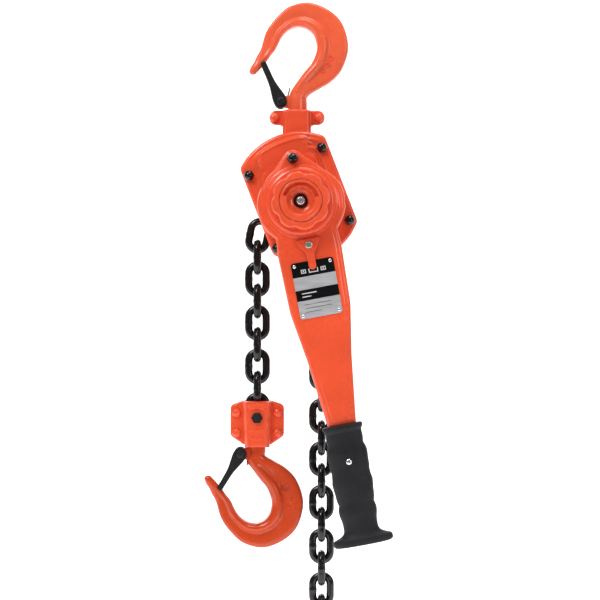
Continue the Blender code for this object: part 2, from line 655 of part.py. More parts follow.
def lever():
    outline = lever_outline()
    bm = bmesh.new()
    flat(bm, outline, [circle(0, 0, 21.0, 20)], LEVER_FRONT)
    grown = bmesh.ops.extrude_face_region(bm, geom=bm.faces[:])
    moved = [item for item in grown["geom"] if isinstance(item, bmesh.types.BMVert)]
    bmesh.ops.translate(bm, verts=moved, vec=(0.0, LEVER_REAR - LEVER_FRONT, 0.0))
    arm = to_object("lever_arm", bm, "paint", AT_LEVER, LEVER_LEAN)
    hollow = plate("hollow", lever_outline(LEVER_WALL), LEVER_FRONT + LEVER_WALL, LEVER_REAR + 5.0, "paint",
                   at=AT_LEVER, lean=LEVER_LEAN)
    combine(arm, [hollow], "DIFFERENCE")
    collar = turned("collar", [(LEVER_FRONT + 1.0, 21.0), (LEVER_FRONT + 1.0, 47.0), (LEVER_FRONT - 3.0, 46.5),
                               (LEVER_FRONT - 5.0, 43.5), (LEVER_FRONT - 5.0, 21.0)], "paint", AT_LEVER,
                    LEVER_LEAN, 20, closed=True)
    tail = plate("tail", rounded([(-15.5, -296.0, 0), (15.5, -296.0, 0), (15.5, -440.0, 6.0),
                                  (-15.5, -440.0, 6.0)]), -71.0, -62.0, "paint", at=AT_LEVER, lean=LEVER_LEAN)
    combine(arm, [collar, tail])
    head = []
    for angle in range(-50, 231, 20):
        a = math.radians(angle)
        head.append((60.0 * math.cos(a), 60.0 * math.sin(a), 0.0))
    rear = head + [(-43.0, -66.0, 20.0), (-40.8, -150.0, 6.0), (40.8, -150.0, 6.0), (43.0, -66.0, 20.0)]
    plate("lever_cover", rounded(rear, 20.0), LEVER_REAR + GAP, LEVER_REAR + 3.0, "paint",
          holes=[circle(0, 0, 20.5, 20)], at=AT_LEVER, lean=LEVER_LEAN)


def grip():
    """Moulded handle: collar, waisted body with finger waves and an oval end flange."""
    sections = [(304.0, 27.0, 15.0), (312.0, 27.0, 15.0), (314.5, 24.7, 13.5), (340.0, 26.2, 15.0),
                (365.0, 27.4, 16.0), (395.0, 26.8, 15.5), (425.0, 24.6, 14.5), (447.0, 23.6, 14.0),
                (455.5, 34.0, 17.0), (458.0, 40.0, 18.0), (464.0, 40.7, 18.0), (467.0, 37.0, 16.0)]
    rings = []
    for r, half, depth in sections:
        ring = []
        for k in range(16):
            a = math.tau * k / 16
            x = math.copysign(abs(math.cos(a)) ** 0.8, math.cos(a)) * half
            y = math.copysign(abs(math.sin(a)) ** 0.8, math.sin(a)) * depth
            ring.append((x, -66.5 + y, -r))
        rings.append(ring)
    body = to_object("grip", rings_to_mesh(rings, False), "rubber", AT_LEVER, LEVER_LEAN)
    socket = box("socket", (-15.9, -71.4, -440.4), (15.9, -61.6, -300.0), at=AT_LEVER, lean=LEVER_LEAN)
    mouth = box("mouth", (-20.6, -75.0, -305.0), (20.6, -50.0, -300.0), at=AT_LEVER, lean=LEVER_LEAN)
    return combine(body, [socket, mouth], "DIFFERENCE")


def lever_fittings():
    name_plate = rounded([(-28.8, -154.5, 4.0), (28.8, -154.5, 4.0), (28.8, -80.1, 4.0), (-28.8, -80.1, 4.0)])
    plate("name_plate", name_plate, LEVER_FRONT - GAP, LEVER_FRONT - 1.1, "steel", at=AT_LEVER, lean=LEVER_LEAN)
    turn = math.radians(LEVER_LEAN)
    pivot = (SHAFT[0] + 58.7 * math.sin(turn), 0.0, SHAFT[1] - 58.7 * math.cos(turn))
    shape = rounded([(-17.5, 9.6, 2.5), (17.5, 9.6, 2.5), (6.0, -9.0, 3.0), (5.5, -32.5, 4.5), (-5.5, -32.5, 4.5),
                     (-6.0, -9.0, 3.0)])
    finger = plate("selector_lever", shape, LEVER_FRONT - 1.5, LEVER_FRONT - 4.5, "paint", at=pivot, lean=LEVER_LEAN)
    stem = turned("stem", [(LEVER_FRONT - 6.0, 3.8), (LEVER_FRONT - 5.6, 5.0), (LEVER_FRONT - 2.0, 5.0),
                           (LEVER_FRONT - 2.0, 3.5), (-60.0, 3.5)], "paint", at=pivot, lean=LEVER_LEAN, count=12)
    combine(finger, [stem])
    hole = turned("hole", [(LEVER_FRONT - 2.0, 3.9), (-68.0, 3.9)], "paint", at=pivot, lean=LEVER_LEAN, count=12)
    combine(bpy.data.objects["lever_arm"], [hole], "DIFFERENCE")
    pawl = rounded([(-13.0, 23.5, 0), (-9.0, 19.0, 0), (9.0, 19.0, 0), (13.0, 23.5, 0), (9.0, -7.0, 5.0),
                    (-9.0, -7.0, 5.0)])
    plate("changeover_pawl", pawl, -69.0, -61.0, "steel", holes=[circle(0, 0, 3.8, 12)], at=pivot,
          lean=LEVER_LEAN)


def hand_drive():
    drive = tooth_form(14, 4.1, 0.7, 0.9, 0.3)
    gear("drive_gear", [(-69.5, -61.0, drive), (-78.7, -42.8, 18.0)], "steel", AT_LEVER, LEVER_LEAN, 7.3)

    def lobes(angle):
        return KNOB_R - LOBE_DEPTH + LOBE_DEPTH * math.cos(LOBES * (angle - LOBE_PHASE))

    def lobes_small(angle):
        return lobes(angle) - 2.5

    front = -105.0
    wheel = [(-80.0, 9.6), (-80.0, lobes_small), (-84.0, lobes), (front + 2.5, lobes),
             (front, lobes_small), (front, 19.5), (front + 5.0, 16.5), (front + 8.5, 9.6)]
    turned("hand_wheel", wheel, "paint", AT_LEVER, LEVER_LEAN, 40, closed=True)

    def castle(angle):
        return 8.1 if math.cos(6.0 * angle) > 0.0 else 7.0

    turned("castle_nut", [(-92.0, 5.9), (-92.0, 8.1), (-97.0, 8.1), (-98.0, castle), (-101.0, castle),
                          (-101.0, 5.9)], "black", AT_LEVER, LEVER_LEAN, 12, closed=True)


# ---------------------------------------------------------------- bottom block

BLOCK_RIVETS = {
    "block_rivet_upper_left": (-28.3, -529.5), "block_rivet_upper_right": (28.3, -529.5),
    "block_rivet_lower_left": (-28.3, -557.0), "block_rivet_lower_right": (28.3, -557.0),
}


def block_half(name, side):
    y_in = side * GAP / 2.0
    ears = rounded([(-36.7, -560.0, 4.0), (-36.7, -519.0, 5.0), (-20.0, BLOCK_TOP, 3.0), (20.0, BLOCK_TOP, 3.0),
                    (36.7, -519.0, 5.0), (36.7, -560.0, 4.0), (19.0, -573.0, 3.0), (-19.0, -573.0, 3.0)])
    holes = [circle(x, z, 3.5, 10) for x, z in BLOCK_RIVETS.values()]
    at = (BLOCK_X, 0.0, 0.0)
    body = plate(name, ears, y_in, side * 9.0, "paint", holes=holes, at=at)
    wide = [(-19.5, BLOCK_TOP), (19.5, BLOCK_TOP), (17.0, BLOCK_BOTTOM), (-17.0, BLOCK_BOTTOM)]
    narrow = [(-15.5, BLOCK_TOP - 1.5), (15.5, BLOCK_TOP - 1.5), (13.0, BLOCK_BOTTOM + 1.5),
              (-13.0, BLOCK_BOTTOM + 1.5)]
    rings = [[(x, y, z) for x, z in shape] for y, shape in ((y_in, wide), (side * 16.0, wide),
                                                           (side * 21.0, narrow))]
    centre = to_object("centre", rings_to_mesh(rings, False), "paint", at)
    combine(body, [centre])
    slot = box("slot", (-20.8, -5.7, -553.0), (20.8, 5.7, BLOCK_TOP + 5.0), at=at)
    bore = turned("bore", [(-30.0, 5.1), (30.0, 5.1)], "steel", at=(BLOCK_X, 0, CHAIN_PIN_Z), count=12)
    head = BLOCK_BOTTOM + 10.0
    room = upright("room", [(BLOCK_BOTTOM - 3.0, 7.5 + GAP), (head, 7.5 + GAP), (head, 10.5 + GAP),
                            (head + 9.0, 10.5 + GAP)], "steel", at=at)
    throat = box("throat", (-9.0, -15.3, -522.0), (9.0, 15.3, BLOCK_TOP + 5.0), at=at)
    return combine(body, [slot, bore, room, throat], "DIFFERENCE")


def bottom_block():
    block_half("bottom_block_front", -1.0)
    block_half("bottom_block_rear", 1.0)
    for name, (x, z) in BLOCK_RIVETS.items():
        dome_rivet(name, BLOCK_X + x, z, 9.0 + GAP)

    def hexagon(angle):
        return 7.9 * math.cos(math.pi / 6) / math.cos((angle % (math.pi / 3)) - math.pi / 6)

    turned("chain_pin", [(-27.0, 5.5), (-26.0, hexagon), (-21.3, hexagon), (-21.3, 4.7), (22.4, 4.7)],
           "black", at=(BLOCK_X, 0, CHAIN_PIN_Z), count=12)


# ---------------------------------------------------------------- chain

def link_mesh_rings(arc_steps, sides, wire):
    """A link in the XZ plane: two straight legs and two round ends."""
    straight = LINK_HALF - LINK_END
    centre_line = []
    for end in (1.0, -1.0):
        for k in range(arc_steps + 1):
            a = math.pi * k / arc_steps
            x = LINK_END * math.cos(a) * end
            z = (straight + LINK_END * math.sin(a)) * end
            centre_line.append((x, z, math.cos(a) * end, math.sin(a) * end))
    rings = []
    for x, z, nx, nz in centre_line:
        ring = []
        for s in range(sides):
            b = math.tau * s / sides
            r = wire / 2.0
            ring.append((x + nx * r * math.cos(b), r * math.sin(b), z + nz * r * math.cos(b)))
        rings.append(ring)
    return rings


def link(name, x, z, edge_on, tilt=0.0, arc_steps=4, sides=6, wire=WIRE):
    bm = rings_to_mesh(link_mesh_rings(arc_steps, sides, wire), True)
    obj = to_object(name, bm, "black", (x, 0.0, z))
    turn = Matrix.Rotation(math.radians(tilt), 4, "Y")
    if edge_on:
        turn = turn @ Matrix.Rotation(math.pi / 2.0, 4, "Z")
    obj.rotation_euler = turn.to_euler()
    return obj


def load_strand():
    """Nine links from the stay bolt down to the chain pin; even ones are seen edge on."""
    tilt = math.radians(FIRST_LINK_TILT)
    leg = LINK_HALF - LINK_END
    bend_z = FIRST_HANG_Z + LINK_END - PITCH / 3.0 - GAP
    link("load_link_1", LOAD_X + leg * math.sin(tilt), bend_z + leg * math.cos(tilt), False, FIRST_LINK_TILT)
    for k in range(2, 10):
        link("load_link_%d" % k, LOAD_X, FIRST_HANG_Z - LINK_HALF - PITCH * (k - 2), k % 2 == 0)


def slack_run(name, first, count, lift):
    """Links that hang together and are joined into one solid where they touch."""
    pieces = []
    for k in range(first, first + count):
        z = SLACK_TOP_Z - PITCH * k + lift
        pieces.append(link(name if k == first else "link", SLACK_X, z, k % 2 == 0, 0.0, wire=SLACK_WIRE))
    return combine(pieces[0], pieces[1:])


def slack_strand():
    lift = SLACK_WIRE - PITCH / 3.0 + GAP
    slack_run("slack_chain_upper", 0, SLACK_UPPER, 0.0)
    slack_run("slack_chain_lower", SLACK_UPPER, SLACK_LOWER, lift)
    crown = SLACK_TOP_Z - PITCH * (SLACK_UPPER + SLACK_LOWER - 1) - LINK_HALF + lift
    rings = []
    for k in range(14):
        a = math.tau * k / 14
        ring = []
        for s in range(6):
            b = math.tau * (s + 0.5) / 6
            r = RING_R + RING_WIRE_R * math.cos(b)
            ring.append((r * math.cos(a), RING_WIRE_R * math.sin(b), r * math.sin(a)))
        rings.append(ring)
    z = crown + SLACK_WIRE / 2.0 + RING_WIRE_R + 3.0 * GAP - RING_R
    to_object("end_ring", rings_to_mesh(rings, True), "steel", (SLACK_X, 0.0, z))


def clear_scene():
    for obj in list(bpy.data.objects):
        bpy.data.objects.remove(obj)


clear_scene()
hooks()
yoke()
side_plates()
stays()
front_cover()
gear_case()
chain_guide()
drive_train()
brake()
lever()
grip()
lever_fittings()
hand_drive()
bottom_block()
load_strand()
slack_strand()
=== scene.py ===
import json
import math
from math import copysign, cos, exp, hypot, pi, radians, sin, tau

import bmesh
import bpy
from mathutils import Matrix, Vector


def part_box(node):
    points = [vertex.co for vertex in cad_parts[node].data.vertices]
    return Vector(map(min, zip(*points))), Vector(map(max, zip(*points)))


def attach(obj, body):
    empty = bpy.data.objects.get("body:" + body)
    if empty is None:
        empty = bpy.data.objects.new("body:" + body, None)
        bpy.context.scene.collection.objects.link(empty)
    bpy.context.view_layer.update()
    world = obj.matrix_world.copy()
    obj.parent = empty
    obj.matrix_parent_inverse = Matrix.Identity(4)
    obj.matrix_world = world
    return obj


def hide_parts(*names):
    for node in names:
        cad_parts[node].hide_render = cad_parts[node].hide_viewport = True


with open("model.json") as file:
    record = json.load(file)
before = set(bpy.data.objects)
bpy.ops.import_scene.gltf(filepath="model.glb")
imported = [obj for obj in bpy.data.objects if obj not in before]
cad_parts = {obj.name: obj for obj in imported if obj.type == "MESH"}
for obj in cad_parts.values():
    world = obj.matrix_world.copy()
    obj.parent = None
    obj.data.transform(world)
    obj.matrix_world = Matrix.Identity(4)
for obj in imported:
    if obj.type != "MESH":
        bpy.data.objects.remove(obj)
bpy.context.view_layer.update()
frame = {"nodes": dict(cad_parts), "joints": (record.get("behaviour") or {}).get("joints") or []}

# Looks of a ratchet lever hoist. Sizes below are in millimetres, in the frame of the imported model.
MM = 0.001
FRONT = -1.0
REAR = 1.0


# ---- places taken from the frame ----

JOINTS = {joint["name"]: joint for joint in frame["joints"]}


def joint_spot(name):
    x, _, z = JOINTS[name]["pos_m"]
    return (x / MM, z / MM)


def box_mm(node):
    low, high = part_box(node)
    return low / MM, high / MM


def middle(node):
    low, high = box_mm(node)
    return (low + high) / 2.0


SHAFT = joint_spot("lever_turn")
SELECTOR = joint_spot("selector_turn")
LEVER_LEAN = math.degrees(math.atan2(SELECTOR[0] - SHAFT[0], SHAFT[1] - SELECTOR[1]))
FRAME_LEAN = math.degrees(math.atan2(
    joint_spot("idler_lower_turn")[0] - joint_spot("idler_upper_turn")[0],
    joint_spot("idler_upper_turn")[1] - joint_spot("idler_lower_turn")[1]))
GEAR_CENTRES = math.dist(joint_spot("idler_upper_turn"), SHAFT)
AT_LEVER = (SHAFT[0], 0.0, SHAFT[1])

# ---- sizes that the frame can't give ----
TOP_BOWL = (1.0, -25.0)
BOTTOM_BOWL = (-60.8, -656.0)
HOOK_WEB = -8.5  # y of a hook's thin web on the front
NECK_SUNK = 1.5
LUG_HALF = 7.0
CHEEK_INNER = 7.7  # a latch's two cheeks
CHEEK_OUTER = 10.2
COIL_R = 5.6
COIL_INNER = 3.2
COIL_STEPS = 36
SPRING_WIRE_R = 0.8
LEG_Y = 4.4  # how far the spring's free legs stand from the middle
HALF_GAP = 0.2  # from the middle plane to each half of the yoke and the block
YOKE_EAR = 7.0
BLOCK_EAR = 9.0
FRAME_CENTRE = (4.0, -238.0)
AT_FRAME = (FRAME_CENTRE[0], 0.0, FRAME_CENTRE[1])
FRAME_R = 93.0
FRAME_LOW_R = 83.5
FRAME_SIDE = 62.0
PLATE_INNER = 22.0  # the two side plates
PLATE_OUTER = 27.0
COVER_BACK = -27.3
COVER_FACE = -30.0
PAD_RISE = 5.4
CUP_RISE = 20.0
CUP_BLEND = 3.0
CASE_BACK = 27.3
CASE_FACE = 30.0
CORNERS = ("upper_right", "upper_left", "lower_right", "lower_left")
LEVER_FRONT = -74.0
LEVER_REAR = -56.0
LABEL_HALF = 28.8
LABEL_TOP = -80.1
LABEL_LOW = -156.0
LABEL_CORNER = 4.0
LABEL_BACK = LEVER_FRONT - 0.25
LABEL_FACE = LABEL_BACK - 0.7
GRIP_Y = -66.5
WHEEL_FRONT = -105.0
WHEEL_REAR = -80.0
WHEEL_R = 39.3
LOBE_PHASE = radians(272.0)
LINK_END = 12.0  # radius of a link's round end, at the wire's centre
LINK_HALF = 20.0
LINK_WIRE = 9.9  # at the crown; the legs are a little thicker
LEG_SWELL = 0.35
PITCH = 30.0

# ---- how meshes are drawn ----
FLAT_MARGIN = 0.35
RIM_STEPS = 4
RIVET_SUNK = 0.8
SHARP_FROM = 32.0  # degrees from which an edge is drawn sharp

# ---- the studio, in metres ----
WHITE = (1.0, 1.0, 1.0, 1.0)
HOIST_MIDDLE = (0.0, 0.0, -0.38)
CAMERA_AT = (0.0033, -2.75, -0.3748)


# ---- finishes ----

# Sockets of a Mix node that mixes colours.
MIX_FACTOR = 0
MIX_A = 6
MIX_B = 7
MIX_RESULT = 2


class Nodes:
    """A short way to write a node tree round one Principled shader."""

    def __init__(self, name):
        self.mat = bpy.data.materials.new(name)
        self.mat.use_nodes = True
        self.tree = self.mat.node_tree
        self.shader = self.tree.nodes["Principled BSDF"]
        self.place = self.tree.nodes.new("ShaderNodeTexCoord").outputs["Object"]

    def set(self, **values):
        for name, value in values.items():
            self.shader.inputs[name.replace("_", " ")].default_value = value

    def link(self, source, target):
        self.tree.links.new(source, target)
        return target

    def add(self, kind, **values):
        """A new node with some of its inputs set."""
        node = self.tree.nodes.new("ShaderNode" + kind)
        for name, value in values.items():
            node.inputs[name.replace("_", " ")].default_value = value
        return node

    def noise(self, scale, detail=3.0, stretch=None, rough=0.5):
        """Cloudy noise; scale is in cells for each metre."""
        node = self.add("TexNoise", Scale=scale, Detail=detail, Roughness=rough)
        source = self.place
        if stretch:
            mapping = self.add("Mapping", Scale=stretch)
            self.link(source, mapping.inputs["Vector"])
            source = mapping.outputs["Vector"]
        self.link(source, node.inputs["Vector"])
        return node.outputs["Fac"]

    def cells(self, scale):
        node = self.add("TexVoronoi", Scale=scale)
        self.link(self.place, node.inputs["Vector"])
        return node.outputs["Distance"]

    def span(self, source, low, high, to_low=0.0, to_high=1.0):
        """Source from low..high onto to_low..to_high, held at the ends."""
        node = self.add("MapRange", From_Min=low, From_Max=high, To_Min=to_low, To_Max=to_high)
        self.link(source, node.inputs["Value"])
        return node.outputs["Result"]

    def times(self, a, b):
        node = self.tree.nodes.new("ShaderNodeMath")
        node.operation = "MULTIPLY"
        for socket, value in zip(node.inputs, (a, b)):
            if isinstance(value, float):
                socket.default_value = value
            else:
                self.link(value, socket)
        return node.outputs["Value"]

    def mix(self, factor, a, b):
        node = self.tree.nodes.new("ShaderNodeMix")
        node.data_type = "RGBA"
        for socket, value in ((node.inputs[MIX_A], a), (node.inputs[MIX_B], b)):
            if isinstance(value, tuple):
                socket.default_value = (*value, 1.0)
            else:
                self.link(value, socket)
        self.link(factor, node.inputs[MIX_FACTOR])
        return node.outputs[MIX_RESULT]

    def edges(self, low, high):
        """Rises from 0 to 1 on convex edges."""
        node = self.tree.nodes.new("ShaderNodeNewGeometry")
        return self.span(node.outputs["Pointiness"], low, high)

    def bump(self, height, depth, strength=1.0, under=None):
        node = self.add("Bump", Distance=depth * MM, Strength=strength)
        self.link(height, node.inputs["Height"])
        if under:
            self.link(under, node.inputs["Normal"])
        return node.outputs["Normal"]

    def colour(self, source):
        self.link(source, self.shader.inputs["Base Color"])

    def roughness(self, source):
        self.link(source, self.shader.inputs["Roughness"])

    def normal(self, source):
        self.link(source, self.shader.inputs["Normal"])


def shade(colour, by):
    return tuple(min(1.0, channel * by) for channel in colour)


def enamel(name, colour, cast=0.0):
    """Glossy sprayed enamel: cloudy depth, orange peel, thin and paler on convex edges (edge wear and a
    painted highlight), and darker in hollows (painted shade).
    Cast is the depth of the forging's texture under it."""
    n = Nodes(name)
    cloud = n.noise(22.0, 4.0)
    speck = n.noise(900.0, 2.0)
    base = n.mix(n.span(cloud, 0.35, 0.68), shade(colour, 0.93), shade(colour, 1.05))
    base = n.mix(n.span(speck, 0.66, 0.8, 0.0, 0.25), base, shade(colour, 0.7))
    # paler on convex edges: edge wear and a painted highlight
    wear_and_highlight = n.times(n.edges(0.53, 0.64), n.span(n.noise(170.0, 4.0), 0.4, 0.7, 0.05, 0.5))
    pale = (min(1.0, colour[0] * 1.08), colour[1] * 1.9, colour[2] * 2.6)
    base = n.mix(wear_and_highlight, base, pale)
    # painted shade: darker where the surface is hollow, in creases and recesses
    painted_crevice_shade = n.edges(0.49, 0.43)
    base = n.mix(n.times(painted_crevice_shade, 0.45), base, shade(colour, 0.55))
    n.colour(base)
    n.roughness(n.span(n.noise(60.0, 4.0), 0.3, 0.75, 0.2, 0.32))
    n.set(Coat_Weight=0.25, Coat_Roughness=0.07, Specular_IOR_Level=0.35)
    peel = n.bump(n.noise(420.0, 2.0), 0.035, 0.5)
    if cast:
        peel = n.bump(n.noise(95.0, 5.0, rough=0.6), cast, 0.7, peel)
    n.normal(peel)
    return n.mat


def black_enamel(name, level, low, high, texture):
    """Black oxide or lacquer, brighter on its edges: a dusting of edge wear and a painted highlight."""
    n = Nodes(name)
    cloud = n.noise(55.0, 4.0)
    base = n.mix(n.span(cloud, 0.3, 0.7), (level * 0.7,) * 3, (level * 1.4, level * 1.4, level * 1.55))
    # brighter on convex edges: edge wear and a painted highlight
    wear_and_highlight = n.times(n.edges(0.55, 0.68), n.span(n.noise(260.0, 4.0), 0.45, 0.7, 0.0, 0.5))
    base = n.mix(wear_and_highlight, base, (0.09, 0.088, 0.085))
    n.colour(base)
    n.roughness(n.span(n.noise(130.0, 4.0), 0.3, 0.72, low, high))
    n.set(Coat_Weight=0.15, Coat_Roughness=0.1, Specular_IOR_Level=0.4)
    n.normal(n.bump(n.noise(240.0, 5.0, rough=0.62), texture, 0.6))
    return n.mat


def machined(name, colour, rough, stretch=(1.0, 6.0, 1.0)):
    """Bright metal with fine tool marks and faint staining."""
    n = Nodes(name)
    stain = n.noise(70.0, 5.0)
    n.colour(n.mix(n.span(stain, 0.4, 0.75, 0.0, 0.55), colour, shade(colour, 0.6)))
    n.roughness(n.span(n.noise(340.0, 3.0, stretch), 0.3, 0.7, rough * 0.75, rough * 1.35))
    n.set(Metallic=1.0)
    n.normal(n.bump(n.noise(700.0, 2.0, stretch), 0.02, 0.5))
    return n.mat


def moulded_rubber(name):
    """Matt black rubber with a fine leather-like grain and a dusty bloom."""
    n = Nodes(name)
    bloom = n.noise(34.0, 5.0)
    base = n.mix(n.span(bloom, 0.35, 0.7), (0.006, 0.006, 0.0085), (0.012, 0.0118, 0.0155))
    # lighter on convex edges: edge wear and a painted highlight
    base = n.mix(n.times(n.edges(0.52, 0.6), 0.4), base, (0.04, 0.04, 0.046))
    n.colour(base)
    n.roughness(n.span(n.noise(300.0, 3.0), 0.3, 0.7, 0.5, 0.66))
    n.set(Specular_IOR_Level=0.3)
    grain = n.bump(n.cells(620.0), 0.11, 0.5)
    n.normal(n.bump(n.noise(1400.0, 3.0), 0.05, 0.5, grain))
    return n.mat


def printed(name, colour, metal, rough):
    """A printed band on brushed sheet metal."""
    n = Nodes(name)
    lines = n.noise(500.0, 3.0, (0.06, 1.0, 1.0))
    n.colour(n.mix(n.span(lines, 0.3, 0.7), shade(colour, 0.9), shade(colour, 1.08)))
    n.roughness(n.span(lines, 0.3, 0.7, rough * 0.85, rough * 1.25))
    n.set(Metallic=metal, Specular_IOR_Level=0.22)
    n.normal(n.bump(lines, 0.01, 0.4))
    return n.mat


PAINT = enamel("orange_enamel", (0.86, 0.092, 0.031))
HOOK_PAINT = enamel("forged_enamel", (0.86, 0.122, 0.048), 0.16)
# the hook enamel made darker for the bottom hook: painted shade
SHADED_HOOK_PAINT = enamel("forged_enamel_painted_shade", (0.58, 0.056, 0.010), 0.16)
CHAIN_BLACK = black_enamel("chain_black", 0.0045, 0.13, 0.28, 0.05)
SATIN_BLACK = black_enamel("satin_black", 0.010, 0.28, 0.42, 0.03)
NUT_BLACK = black_enamel("nut_black", 0.004, 0.07, 0.14, 0.012)
STEEL = machined("machined_steel", (0.52, 0.52, 0.53), 0.32)
DARK_STEEL = machined("oiled_steel", (0.16, 0.155, 0.15), 0.38)
ZINC = machined("zinc_plate", (0.58, 0.60, 0.53), 0.34)
BRIGHT = machined("bright_rivet", (0.82, 0.82, 0.84), 0.22)
RUBBER = moulded_rubber("grip_rubber")
PLATE_BLACK = printed("plate_black", (0.0022, 0.0022, 0.0026), 0.0, 0.34)
PLATE_SILVER = printed("plate_silver", (0.60, 0.60, 0.62), 0.55, 0.42)
PLATE_WHITE = printed("plate_white", (0.75, 0.75, 0.76), 0.0, 0.5)


# ---- mesh helpers ----

def smooth_path(points, per_span):
    """Catmull-Rom curve through tuples of any length."""
    result = []
    for i in range(len(points) - 1):
        a = points[max(i - 1, 0)]
        b = points[i]
        c = points[i + 1]
        d = points[min(i + 2, len(points) - 1)]
        for k in range(per_span):
            t = k / per_span
            result.append(tuple(
                0.5 * (2 * q + (r - p) * t + (2 * p - 5 * q + 4 * r - s) * t * t
                    + (3 * q - p - 3 * r + s) * t ** 3)
                for p, q, r, s in zip(a, b, c, d)))
    result.append(tuple(points[-1]))
    return result


def rounded(corners, step=9.0, closed=True):
    """An outline from corners (x, z, radius), each radius drawn as an arc."""
    outline = []
    last = len(corners) - 1
    for i, (x, z, radius) in enumerate(corners):
        here = Vector((x, z))
        if radius <= 0.0 or (not closed and i in (0, last)):
            outline.append((x, z))
            continue
        back = (Vector(corners[i - 1][:2]) - here).normalized()
        ahead = (Vector(corners[(i + 1) % len(corners)][:2]) - here).normalized()
        half = back.angle(ahead) / 2.0
        if half > radians(89.5):
            outline.append((x, z))
            continue
        centre = here + (back + ahead).normalized() * (radius / sin(half))
        start = here + back * (radius / math.tan(half)) - centre
        sweep = pi - 2.0 * half
        turn = -copysign(sweep, back.x * ahead.y - back.y * ahead.x)
        steps = max(2, round(math.degrees(sweep) / step))
        for k in range(steps + 1):
            a = turn * k / steps
            outline.append((centre.x + start.x * cos(a) - start.y * sin(a),
                    centre.y + start.x * sin(a) + start.y * cos(a)))
    return outline


def circle(x, z, radius, count):
    return [(x + radius * cos(tau * i / count), z + radius * sin(tau * i / count))
            for i in range(count)]


def at_depth(y, outline):
    """An outline stood in the plane at y."""
    return [(x, y, z) for x, z in outline]


def quarter_turn(count):
    """Angles in even steps from 0 to a right angle."""
    return [pi / 2.0 * k / count for k in range(count + 1)]


def mirrored(half):
    """An outline's corners and their mirror images across x = 0."""
    return half + [(-x, *rest) for x, *rest in reversed(half)]


def turned_way(outline):
    """The outline, running counter-clockwise."""
    area = sum(a[0] * b[1] - b[0] * a[1] for a, b in zip(outline, outline[1:] + outline[:1]))
    return outline if area > 0.0 else outline[::-1]


def inset(outline, distance, weight=None):
    """Each point of a counter-clockwise outline moved inward, less where weight says so."""
    moved = []
    count = len(outline)
    for i in range(count):
        here = Vector(outline[i])
        back = (here - Vector(outline[i - 1])).normalized()
        ahead = (Vector(outline[(i + 1) % count]) - here).normalized()
        na = Vector((-back.y, back.x))
        nb = Vector((-ahead.y, ahead.x))
        share = weight(here.x, here.y) if weight else 1.0
        point = here + (na + nb) / (1.0 + na.dot(nb)) * distance * share
        moved.append((point.x, point.y))
    return moved


def skin(rings, closed=False):
    """Skin a row of equal rings; closed joins the last ring to the first, else both ends are capped."""
    bm = bmesh.new()
    loops = [[bm.verts.new(point) for point in ring] for ring in rings]
    pairs = list(zip(loops, loops[1:]))
    if closed:
        pairs.append((loops[-1], loops[0]))
    for low, high in pairs:
        for i in range(len(low)):
            j = (i + 1) % len(low)
            bm.faces.new((low[i], low[j], high[j], high[i]))
    if not closed:
        bm.faces.new(loops[0])
        bm.faces.new(reversed(loops[-1]))
    return bm


def terrace(outline, steps, weight=None):
    """Stack of insets of one outline; steps are (inset, y) from one face to the other."""
    outline = turned_way(outline)
    return skin([at_depth(y, inset(outline, d, weight)) for d, y in steps])


def edge_steps(y_back, y_front, round_back, round_front):
    """Steps of a slab with rounded rims, and a short flat margin that keeps its faces flat."""
    way = copysign(1.0, y_front - y_back)
    steps = [(round_back + FLAT_MARGIN, y_back)]
    for a in quarter_turn(RIM_STEPS):
        steps.append((round_back * (1.0 - sin(a)), y_back + way * round_back * (1.0 - cos(a))))
    for a in quarter_turn(RIM_STEPS):
        steps.append((round_front * (1.0 - cos(a)), y_front - way * round_front * (1.0 - sin(a))))
    steps.append((round_front + FLAT_MARGIN, y_front))
    return steps


def slab(outline, y_back, y_front, round_back, round_front):
    return terrace(outline, edge_steps(y_back, y_front, round_back, round_front))


def lathe(profile, count, closed=False, centre=(0.0, 0.0)):
    """A solid about an axis along Y. Profile corners are (y, radius, rounding)."""
    path = rounded(profile, 15.0, closed)
    return skin([at_depth(y, circle(*centre, r, count)) for y, r in path], closed)


def turned(levels, count, closed, x=0.0, z=0.0):
    """Rings about an axis along Y. Each level is (y, radius), both a number or a function of the angle."""
    rings = []
    for y, r in levels:
        ring = []
        for a in [tau * i / count for i in range(count)]:
            reach = r(a) if callable(r) else r
            ring.append((x + reach * cos(a), y(a) if callable(y) else y, z + reach * sin(a)))
        rings.append(ring)
    return skin(rings, closed)


def dome(x, z, base, height, radius, way=FRONT, foot=0.0, count=32):
    """A dome-headed rivet standing on the plane y = base, on a straight foot."""
    levels = [(radius, base - way * RIVET_SUNK), (radius, base), (radius, base + way * foot)]
    for k in range(1, 9):
        a = pi / 2.0 * k / 8.2
        levels.append((radius * cos(a), base + way * (foot + (height - foot) * sin(a))))
    return skin([at_depth(y, circle(x, z, r, count)) for r, y in levels])


def domes_both_sides(x, z, depth, height, radius, foot):
    """The two heads of a rivet through both halves of a forging."""
    return [dome(x, z, side * depth, height, radius, side, foot) for side in (FRONT, REAR)]


def hex_head(x, z, base, radius, height, way):
    """A bolt head with chamfered corners; radius is to the flats."""
    corner = radius / cos(radians(30.0))
    return slab(circle(x, z, corner, 6), base - way * 0.3, base + way * height, 0.1, 0.6)


def tube(points, radius, sides, closed=False):
    """Round wire along points."""
    line = [Vector(p) for p in points]
    rings = []
    side = None
    for i, here in enumerate(line):
        ahead = line[(i + 1) % len(line)] if closed or i < len(line) - 1 else here
        behind = line[i - 1] if closed or i > 0 else here
        way = (ahead - behind).normalized()
        if side is None:
            side = way.orthogonal().normalized()
        side = (side - way * side.dot(way)).normalized()
        up = way.cross(side)
        rings.append([tuple(here + (side * cos(b) + up * sin(b)) * radius)
                for b in [tau * k / sides for k in range(sides)]])
    return skin(rings, closed)


